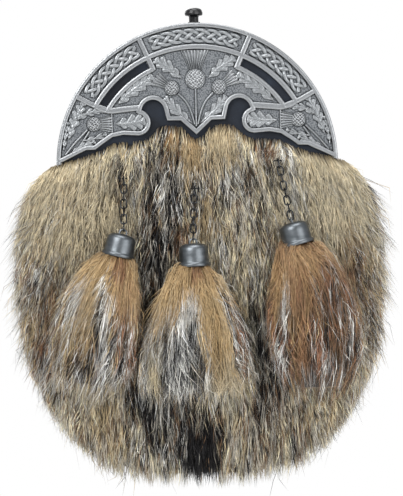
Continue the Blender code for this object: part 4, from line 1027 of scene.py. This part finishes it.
def growHair(form, style, chart, seed):
    # Each hair is rooted under the form and runs down over it.  At t from 0 to 1 it is at
    # form(across + drift t^1.3, down + reach t) + normal (rise (1 - (1 - t)^2) - sink (1 - t)^2),
    # with its tip drawn part of the way to the tip of its lock, and hung the more plumb where the
    # form widens below it.  To that come a heave and a wave that the lock shares, a curl of its own,
    # and a flare and a lean sideways that grow as t^1.6.  Where the chart is mostly cream, sand, gold
    # or rust, the heave is less, and the hairs lie smoother.
    rng = np.random.default_rng(seed)
    count, rings = style["count"], style["rings"]
    if style["mix"]:
        chart = {"base": style["mix"], "patches": []}
    across = rng.uniform(-1, 1, count)
    across = np.sign(across) * np.abs(across) ** style["sides"]
    low, high = style["down"]
    down = low + (high - low) * rng.random(count) ** style["crowd"]
    length = np.linalg.norm(form(across, np.ones(count)) - form(across, np.zeros(count)), axis=1)

    wide, tall = style["locks"]
    column = np.floor((across + 1) / 2 * wide + rng.normal(0, 0.25, count)).clip(0, wide - 1).astype(int)
    row = np.floor(down * tall + rng.normal(0, 0.25, count)).clip(0, tall - 1).astype(int)
    wander = rng.uniform(-1, 1, (wide * tall, 6))[column * tall + row]
    lockAcross = (column + 0.5 + 0.45 * wander[:, 0]) / wide * 2 - 1
    lockDown = (row + 0.5 + 0.45 * wander[:, 1]) / tall

    root = form(across, down)
    calm = calmShare(chartMix(chart, root[:, 0], root[:, 2]))
    reach = style["reach"] / length * (1 + 0.3 * wander[:, 2]) * rng.uniform(0.7, 1.15, count)
    fan = style["fan"] * across * (1.25 - np.abs(across))
    fan *= 0.4 + 0.6 * np.exp(-np.maximum(down, 0) / 0.15)
    stray = style["twist"] * wander[:, 3] + style["stray"] * rng.normal(0, 1, count)
    pull = style["clump"] * rng.uniform(0.4, 1.2, count)
    drift = fan + stray / style["width"] + (lockAcross - across) * pull
    tipDown = down + reach + (lockDown - down) * 0.5 * pull
    aside = np.abs(np.sin(math.pi * across)) ** 1.5
    end = style["end"] - style["drop"] * aside + style["ragged"] * wander[:, 2]
    tipDown = np.minimum(tipDown, end - style["uneven"] * rng.random(count))
    run = np.maximum(tipDown - down, 0.3 * reach)
    side = np.full(count, 0.9)
    narrow = form(side, down)[:, 0] / form(side, down + run)[:, 0]
    drift += style["plumb"] * across * (narrow - 1)

    t = np.linspace(0, 1, rings + 1)
    own = rng.normal(0, 1, count)
    puff = 1 + style["puff"] * np.abs(np.clip(across, -1, 1)) ** 5 * rng.random(count)
    rise = style["rise"] * (1 + 0.3 * wander[:, 4]) * puff * rng.uniform(0.7, 1.2, count)
    sink = style["sink"] * np.clip(0.15 + down / 0.05, 0, 1)
    line = np.empty((count, rings + 1, 3))
    out = np.empty_like(line)
    places = [(across + drift * share**1.3, down + run * share) for share in t]
    for k, (share, place) in enumerate(zip(t, places)):
        out[:, k] = formNormal(form, *place)
        height = rise * (1 - (1 - share) ** 2) - sink * (1 - share) ** 2 + 0.3 * own
        height = height + style["heave"] * wander[:, 4] * (1 - 0.6 * calm) * min(2.5 * share, 1.0)
        line[:, k] = form(*place) + out[:, k] * height[:, None]
    wave = style["wave"] * np.sin(math.tau * (t * 0.9 + wander[:, 5:])) * t
    curl = style["curl"] * (own * rng.normal(0, 1, count))[:, None] * np.sin(math.pi * t)
    aim = np.sign(across) * np.clip((np.abs(across) - 0.6) / 0.4, 0, 1) * rng.random(count) ** 1.5
    if style["round"]:
        aim = np.sin(math.pi * across) * rng.uniform(0.5, 1.2, count)
    line[..., 0] += wave + curl + (style["flare"] * aim + style["lean"])[:, None] * t**1.6

    points = hairShape(line, out, style["thick"] / 2 * rng.uniform(0.7, 1.25, count))
    return points, hairColours(style, chart, line, places, wander, rng), across


def paintHair(mesh, colours):
    # the colour of each corner, which the hair's material reads
    tint = mesh.color_attributes.new("hairColour", "FLOAT_COLOR", "POINT")
    colours = np.insert(colours.reshape(-1, 3), 3, 1.0, axis=1)
    tint.data.foreach_set("color", colours.ravel().astype(np.float32))


def hairPiece(name, points, colours, material, stands):
    # Closed three-sided hairs: quads between rings, three triangles to the tip, one at the root.
    # Its bake map gives each hair a cell of its own, on which its three sides lie one over another.
    count, each = points.shape[:2]
    rings = (each - 1) // 3
    corners, sizes, spots = [], [], []
    for r in range(rings - 1):
        for j in range(3):
            k = (j + 1) % 3
            corners += [3 * r + j, 3 * r + 3 + j, 3 * r + 3 + k, 3 * r + k]
            spots += [(0, r), (0, r + 1), (1, r + 1), (1, r)]
            sizes.append(4)
    for j in range(3):
        corners += [3 * rings - 3 + j, each - 1, 3 * rings - 3 + (j + 1) % 3]
        spots += [(0, rings - 1), (0.5, rings), (1, rings - 1)]
        sizes.append(3)
    corners += [0, 1, 2]
    spots += [(0, 0), (1, 0), (0.5, 0.1)]
    sizes.append(3)
    loops = (np.array(corners)[None, :] + each * np.arange(count)[:, None]).ravel()
    mesh = buildMesh(name, points.reshape(-1, 3), loops, np.tile(sizes, count))
    columns = math.ceil(math.sqrt(4 * count))
    rows = math.ceil(count / columns)
    cell = np.stack([np.arange(count) % columns, np.arange(count) // columns], -1)[:, None]
    spots = np.array(spots, float) / [1, rings]
    uv = (cell + 0.12 + 0.76 * spots[None]) / [columns, rows]
    layer = mesh.uv_layers.new(name="OFBake")
    layer.data.foreach_set("uv", uv.reshape(-1).astype(np.float32))
    paintHair(mesh, colours)
    mesh.shade_smooth()
    addPiece(name, mesh, material, stands)


def hidePiece(name, rings, chart, material, stands, shade):
    # the closed skin under the hair, painted darker than the hair over it as the shade between the
    # hairs, and plain suede behind
    mesh = solidPiece(name, [sweep(rings)], material, stands=stands).data
    place = meshPoints(mesh)
    normal = np.empty(len(mesh.vertices) * 3, np.float32)
    mesh.vertices.foreach_get("normal", normal)
    # painted shade: the skin takes the chart's middle colour scaled down by shade
    tone = chartMix(chart, place[:, 0], place[:, 2]) @ tonePalette[:, 1] * shade
    tone[normal[1::3] > fur["suedeFrom"]] = toLinear(fur["suede"])[:3]
    paintHair(mesh, tone)


def makeFurHide():
    # each column goes down the outside of the hide and back up its inside, clear of the pouch
    columns, levels = np.linspace(-1, 1, 61), np.linspace(*fur["hideSpan"], 44)
    across, down = np.meshgrid(columns, levels, indexing="ij")
    normal = formNormal(furForm, across, down)
    sink = fur["hide"] * np.clip(down / 0.12, 0, 1)
    outer = furForm(across, down) - normal * sink[..., None]
    rows = smoothLine(pouch["rows"][1:], 16)[::-1]
    turn = np.radians(84 * (0.75 * columns + 0.25 * columns**3))
    power = 2 / pouch["squareness"]
    inner = []
    for z, half, depth in rows:
        x = (half + fur["clear"]) * signedPower(np.sin(turn), power)
        y = -(depth + fur["clear"]) * np.cos(turn) ** power
        inner.append(np.stack([x, y, np.full(len(x), z - 0.4)], -1))
    top = outer[:, 0]
    flat = np.full(len(columns), fur["liningDepth"])
    inner.append(np.stack([inner[-1][:, 0], flat, np.full(len(flat), fur["liningTop"])], -1))
    inner.append(np.stack([top[:, 0], flat, top[:, 2]], -1))
    rings = np.concatenate([outer, np.stack(inner, axis=1)], axis=1)
    hidePiece("furHide", rings, furChart, grizzledHair, ["fur_body"], fur["shade"])


# What every layer of hair starts from, and then a table with a column for each layer.  Locks and
# streaks are how many lie across and down.  Reach, width, twist, stray, rise, sink, heave, curl, wave,
# flare, lean, thick and blur are in mm; fan is sideways in widths, and down, end, drop, ragged and
# uneven are in lengths of the form.  Tuft is the share of hairs that take their streak's draw.
# RootShade is painted shade at each hair's root, as a share of its colour, and lockToneAndShade gives
# each lock its own tone and paints the locks that lie lower darker, as painted shade.
hairBase = {
    "sides": 1.0, "crowd": 1.0, "width": 95.0, "fan": 0.0, "plumb": 0.0, "lean": 0.0, "round": False,
    "puff": 0.0, "drop": 0.0, "streaks": (150, 20), "shared": 0.33, "smear": 0.25, "mix": None,
}
furLayers = {
    "layer": ["Under", "Guard", "Wisps", "Fringe", "Cuff"],
    "count": [42000, 25000, 3200, 4200, 3800],
    "rings": [1, 2, 2, 2, 2],
    "down": [(0.0, 0.955), (0.0, 0.93), (0.0, 0.93), (0.02, 0.97), (-0.012, 0.03)],
    "locks": [(90, 28), (104, 24), (60, 24), (44, 30), (80, 34)],
    "reach": [10.5, 15.0, 15.0, 20.0, 11.0],
    "sides": [1.0, 1.0, 1.0, 0.22, 1.0],
    "fan": [0.03, 0.03, 0.06, 0.1, 0.0],
    "twist": [1.8, 2.4, 3.0, 3.4, 1.8],
    "stray": [1.3, 1.2, 3.0, 3.2, 1.2],
    "clump": [0.45, 0.6, 0.35, 0.5, 0.55],
    "plumb": [0.5, 0.6, 0.5, 0.0, 0.8],
    "rise": [2.4, 4.0, 5.2, 3.0, 2.6],
    "sink": [3.0, 3.2, 2.0, 2.0, 0.6],
    "heave": [0.8, 1.2, 0.0, 0.0, 0.6],
    "curl": [0.0, 0.45, 1.0, 1.6, 0.5],
    "wave": [0.0, 0.6, 0.8, 1.0, 0.5],
    "flare": [0.0, 2.0, 0.0, 12.0, 0.0],
    "thick": [0.6, 0.42, 0.32, 0.3, 0.5],
    "puff": [0.8, 0.6, 0.0, 1.0, 0.0],
    "blur": [2.0, 2.2, 2.0, 1.0, 1.0],
    "tuft": [0.7, 0.72, 0.3, 0.3, 0.5],
    "end": [1.0, 1.0, 1.02, 1.05, 1.0],
    "ragged": [0.02, 0.02, 0.05, 0.05, 0.02],
    "uneven": [0.03, 0.04, 0.03, 0.08, 0.03],
    "rootShade": [0.48, 0.44, 0.6, 0.7, 0.55],
    "varied": [0.1, 0.12, 0.3, 0.3, 0.12],
    "lockToneAndShade": [0.26, 0.28, 0.15, 0.15, 0.2],
    "mix": [None, None, None, "black 30 white 22 ash 20 sand 18 brown 10", None],
}
edges = (-1.01, -0.36, 0.36, 1.01)  # where the fullest layers are cut, so that no piece is too heavy


def makeFur():
    makeFurHide()
    total = 0
    for number, (layer, style) in enumerate(layerStyles(furLayers)):
        points, colours, across = growHair(coatForm, style, furChart, fur["seed"] + number)
        total += len(points)
        parts = {"Left": edges[:2], "Middle": edges[1:3], "Right": edges[2:]}
        if len(points) < 20000:
            parts = {"": (-9, 9)}
        for part, (start, end) in parts.items():
            mine = (across > start) & (across <= end)
            hairPiece("fur" + layer + part, points[mine], colours[mine], grizzledHair,
                      ["fur_body"])
    print("fur made:", total, "hairs")


makeFur()


# The tassels

# Each tassel's sections are (height, middle in x, half width, half depth); bell is how far the loose
# hair below the widest one keeps its width, and its chart is written as the coat's is
tassels = {
    "left": {
        "sections": [(-65, -49.0, 13, 9), (-77, -52.3, 17.5, 10.5), (-91, -55.1, 19, 11),
                     (-105, -57.4, 17, 10.5), (-117, -58.7, 12, 8.5), (-128, -59.9, 4, 3.5)],
        "bell": 0.4, "flare": 1.6, "lean": -3.0,
        "base": "sand 22 gold 12 brown 18 white 20 black 20 ash 8",
        "patches": [
            (-52, -60, 22, 15, "gold 66 sand 34"),
            (-63, -86, 5, 22, "gold 48 sand 40 black 6 white 6"),
            (-75, -96, 6, 20, "sand 20 black 32 brown 20 white 28"),
            (-40, -75, 8, 15, "gold 46 rust 30 sand 24"),
            (-43, -58, 4, 6, "rust 80 gold 20"),
            (-53, -71, 3.0, 9, "white 80 ash 10 black 10"),
            (-54, -86, 3.6, 11, "black 74 white 26"),
            (-69, -70, 4, 9, "white 54 sand 26 black 20"),
            (-52, -103, 6, 16, "black 42 white 34 ash 12 sand 12"),
            (-40, -104, 7, 20, "rust 40 brown 26 white 20 black 14"),
            (-60, -118, 20, 11, "white 30 black 34 ash 10 sand 16 brown 10"),
        ],
    },
    "middle": {
        "sections": [(-70, -3.1, 13.5, 9), (-82, -3.1, 19, 10.5), (-96, -3.2, 23, 11),
                     (-110, -3.3, 25.5, 11), (-123, -3.3, 21, 9), (-133, -3.0, 9, 4)],
        "bell": 0.8, "flare": 1.5, "lean": 0.0,
        "base": "sand 18 gold 12 white 26 black 26 cream 8 ash 10",
        "patches": [
            (-6, -65, 19, 12, "gold 66 sand 34"),
            (-20, -80, 9, 18, "gold 58 sand 38 brown 4"),
            (-2, -60, 3.5, 5, "rust 70 gold 30"),
            (-7, -81, 5, 7, "white 86 ash 8 black 6"),
            (-13, -109, 14, 23, "black 48 white 44 ash 8"),
            (22, -96, 6, 20, "rust 24 brown 16 white 28 black 32"),
            (6, -84, 6, 14, "gold 60 sand 40"),
            (10, -103, 6, 16, "gold 60 sand 40"),
            (14, -122, 6.5, 14, "gold 46 sand 34 cream 20"),
            (-28, -110, 5, 24, "ash 20 white 32 black 40 sand 8"),
            (-26, -117, 4, 10, "cream 66 sand 34"),
            (13, -125, 11, 10, "cream 46 gold 20 sand 26 white 8"),
        ],
    },
    "right": {
        "sections": [(-59, 57.2, 14, 9), (-72, 59.9, 19, 10.5), (-87, 61.5, 21.5, 11),
                     (-104, 62.2, 20.5, 10.5), (-120, 62.8, 14, 8.5), (-136, 62.9, 3.5, 3.5)],
        "bell": 0.15, "flare": 0.3, "lean": -1.0,
        "base": "rust 28 gold 8 brown 24 white 16 black 18 sand 6",
        "patches": [
            (54, -57, 19, 14, "gold 46 rust 42 sand 14"),
            (41, -72, 3, 16, "gold 76 rust 22"),
            (54, -78, 8, 16, "gold 50 rust 46 brown 4"),
            (68, -67, 4.5, 12, "brown 62 rust 28 black 10"),
            (53, -73, 3, 9, "brown 66 rust 34"),
            (45, -82, 1.8, 14, "white 66 black 26 ash 8"),
            (75, -82, 9, 20, "brown 36 rust 36 black 12 white 14"),
            (76, -112, 9, 16, "brown 36 rust 18 black 20 white 26"),
            (60, -110, 5, 22, "rust 40 black 26 white 28 brown 6"),
            (54, -107, 4, 12, "rust 64 gold 34"),
            (43, -104, 5, 14, "white 40 black 40 rust 14 brown 6"),
            (56, -130, 13, 11, "white 24 black 42 brown 26 rust 8"),
        ],
    },
    "headRadius": 5.8, "headSpan": (0.62, 1.02), "hide": 1.8, "hideSpan": (-0.12, 0.88), "shade": 0.28,
    "shoulder": {"below": 4.0, "half": 10.5, "deep": 7.8, "shift": -0.8}, "seed": 31,
    "hair": {"width": 24.0, "round": True, "streaks": (84, 10), "shared": 0.15},
}
tasselLayers = {
    "layer": ["Long", "Short", "Under", "Wisps"],
    "count": [2750, 3300, 4000, 460],
    "rings": [3, 2, 1, 2],
    "down": [(-0.12, 0.22), (0.1, 0.74), (-0.08, 0.78), (0.15, 0.8)],
    "locks": [(44, 2), (48, 7), (44, 8), (13, 5)],
    "reach": [48.0, 19.0, 14.0, 22.0],
    "crowd": [1.3, 1.0, 1.0, 1.0],
    "twist": [2.4, 2.6, 1.2, 3.0],
    "stray": [0.7, 0.9, 0.8, 2.6],
    "clump": [0.65, 0.65, 0.3, 0.3],
    "rise": [2.4, 3.2, 1.4, 5.0],
    "sink": [1.0, 1.8, 2.0, 2.0],
    "heave": [1.0, 1.5, 0.0, 0.0],
    "curl": [0.4, 0.6, 0.0, 1.2],
    "wave": [1.2, 1.0, 0.0, 1.5],
    "flare": [1.3, 1.2, 0.5, 3.5],
    "thick": [0.5, 0.46, 0.62, 0.3],
    "blur": [1.0, 0.7, 0.7, 1.0],
    "tuft": [0.8, 0.92, 0.7, 0.3],
    "end": [1.0, 1.06, 1.0, 1.1],
    "drop": [0.2, 0.2, 0.2, 0.15],
    "ragged": [0.14, 0.14, 0.05, 0.08],
    "uneven": [0.22, 0.12, 0.1, 0.1],
    "rootShade": [0.9, 0.42, 0.5, 0.8],
    "varied": [0.08, 0.14, 0.12, 0.25],
    "lockToneAndShade": [0.2, 0.3, 0.16, 0.15],
}


def tasselForm(name, bell):
    # gives the tassel's smooth form: ellipses across its path, with across once round from behind;
    # bell is how far the widths below the widest keep to it, as loose hair does
    solid = meshPoints(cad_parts["tassel_" + name].data)
    path = [capPlace(name, share) for share in tassels["headSpan"]]
    sizes = [(tassels["headRadius"], tassels["headRadius"])] * len(path)
    if bell:  # loose hair spreads at once below the cap
        shoulder = tassels["shoulder"]
        below = path[-1][2] - shoulder["below"]
        path.append((path[-1][0] + shoulder["shift"], path[-1][1], below))
        sizes.append((shoulder["half"], shoulder["deep"]))
    for z, x, half, deep in tassels[name]["sections"]:
        near = solid[np.abs(solid[:, 2] - z) < 7, 1]
        path.append((x, (near.min() + near.max()) / 2, z))
        sizes.append((half, deep))
    first = 1 / (len(path) - 1)  # the path's first span lies inside the cap
    path, sizes = smoothLine(path, 60), smoothLine(sizes, 60)
    sizes = sizes + bell * (np.maximum.accumulate(sizes, axis=0) * (1.0, 0.8) - sizes).clip(0)
    steps = np.linspace(0, 1, 60)
    heading = unit(np.gradient(path[:, [0, 2]], axis=0))

    def form(across, down):
        at = first + (1 - first) * down
        below = np.maximum(at - 1, 0) * 90.0
        middle, size, ahead = (pointsAt(line, steps, at) for line in (path, sizes, heading))
        side, front = size[..., 0] * np.sin(math.pi * across), size[..., 1] * np.cos(math.pi * across)
        aside = np.stack([-ahead[..., 1] * side, -front, ahead[..., 0] * side - below], -1)
        return middle + aside

    return form


def makeTassel(name, seed):
    form, chart = tasselForm(name, 0.0), tassels[name]
    levels = np.linspace(*tassels["hideSpan"], 30)
    down, across = np.meshgrid(levels, np.linspace(-1, 1, 40, endpoint=False), indexing="ij")
    sink = tassels["hide"] * np.clip(down / 0.05, 0, 1)
    rings = form(across, down) - formNormal(form, across, down) * sink[..., None]
    solids = ["tassel_" + name]
    hidePiece("tasselHead_" + name, rings, chart, tawnyHair, solids, tassels["shade"])
    loose = tasselForm(name, chart["bell"])
    styles = layerStyles(tasselLayers, **tassels["hair"], lean=chart["lean"])
    for number, (layer, style) in enumerate(styles):
        style["flare"] *= chart["flare"]
        points, colours, _ = growHair(loose, style, chart, seed + number)
        hairPiece("tassel" + layer + "_" + name, points, colours, tawnyHair, solids)


for number, name in enumerate(("left", "middle", "right")):
    makeTassel(name, tassels["seed"] + 10 * number)
print("tassels made")


# Stage, light and camera

# the photo's frame in mm: its centre in x and z, its width and its roll in degrees
view = {"centre": (1.2, -46.6), "width": 221.65, "image": (403, 496), "roll": 1.4,
        "distance": 2500.0, "sensor": 36.0}
paper = {"below": 115,
         "profile": [(1.0, 0.0), (1490.0, 0.0), (1500.0, -3.0), (1500.0, -12.0), (1.0, -12.0)]}
# each lamp's name, place and size in metres, and power in watts
lights = {
    "lamps": [("key", (-0.8, -1.25, 0.8), 0.9, 20.0), ("fill", (1.0, -1.2, 0.15), 1.1, 11.0),
              ("top", (0.1, -0.25, 1.15), 0.8, 9.0), ("behind", (-0.5, 1.25, 0.7), 1.0, 12.0)],
    "aim": (0, 0, -0.08), "room": "#eef1f5", "backdrop": "#ffffff",
}


def makeStage():
    # a round floor of pale paper, well under the part, and its bevelled edge
    material, tree, shader, place = newMaterial("palePaper", {"Roughness": 0.9})
    fibre = addNode(tree, "TexNoise", {"Scale": 1 / 30, "Detail": 3.0, "Vector": place})
    colour = addNode(tree, "ValToRGB", {0: fibre, "stops": [(0.3, "#f4f4f3"), (0.7, "#f9f9f8")]})
    addNode(tree, shader, {"Base Color": colour})
    top = cadBox[0][2] / mm - centreHeight - paper["below"]

    def level(a, b, along):
        return np.stack([a, b, top + along], -1)

    floor = solidPiece("paperFloor", [turnedShape(paper["profile"], 96, level)], material)


def makeLights():
    for name, at, size, power in lights["lamps"]:
        lamp = bpy.data.lights.new(name, "AREA")
        lamp.size, lamp.energy = size, power
        lampObject = bpy.data.objects.new(name, lamp)
        lampObject.location = at
        aim = Vector(lights["aim"]) - Vector(at)
        lampObject.rotation_euler = aim.to_track_quat("-Z", "Y").to_euler()
        bpy.context.scene.collection.objects.link(lampObject)
    # a soft grey room, seen as white paper behind the part
    world = bpy.data.worlds.new("softRoom")
    world.use_nodes = True
    tree = world.node_tree
    room = addNode(tree, tree.nodes["Background"], {"Color": lights["room"], "Strength": 0.5})
    backdrop = addNode(tree, "Background", {"Color": lights["backdrop"], "Strength": 1.0})
    seen = addNode(tree, "LightPath", {}).outputs["Is Camera Ray"]
    both = addNode(tree, "MixShader", {0: seen, 1: room, 2: backdrop})
    addNode(tree, tree.nodes["World Output"], {0: both})
    bpy.context.scene.world = world


def makeCamera():
    camera = bpy.data.cameras.new("camera")
    camera.sensor_width = view["sensor"]  # of the image's long side, its height
    height = view["width"] * view["image"][1] / view["image"][0]
    camera.lens = view["sensor"] * view["distance"] / height
    camera.clip_end = 20.0
    cameraObject = bpy.data.objects.new("camera", camera)
    tilt = math.radians(view["roll"])  # the photo shows the left tip lower
    right = Vector((math.cos(tilt), 0, -math.sin(tilt)))
    up = Vector((math.sin(tilt), 0, math.cos(tilt)))
    turn = Matrix((right, up, Vector((0, -1, 0)))).transposed().to_4x4()
    x, z = view["centre"]
    place = Vector((x, cantle["back"] - view["distance"], z + centreHeight)) * mm
    cameraObject.matrix_world = Matrix.Translation(place) @ turn
    bpy.context.scene.collection.objects.link(cameraObject)
    bpy.context.scene.camera = cameraObject


makeStage()
makeLights()
makeCamera()
bpy.context.scene.view_settings.view_transform = "Standard"
print("stage, lights and camera made")
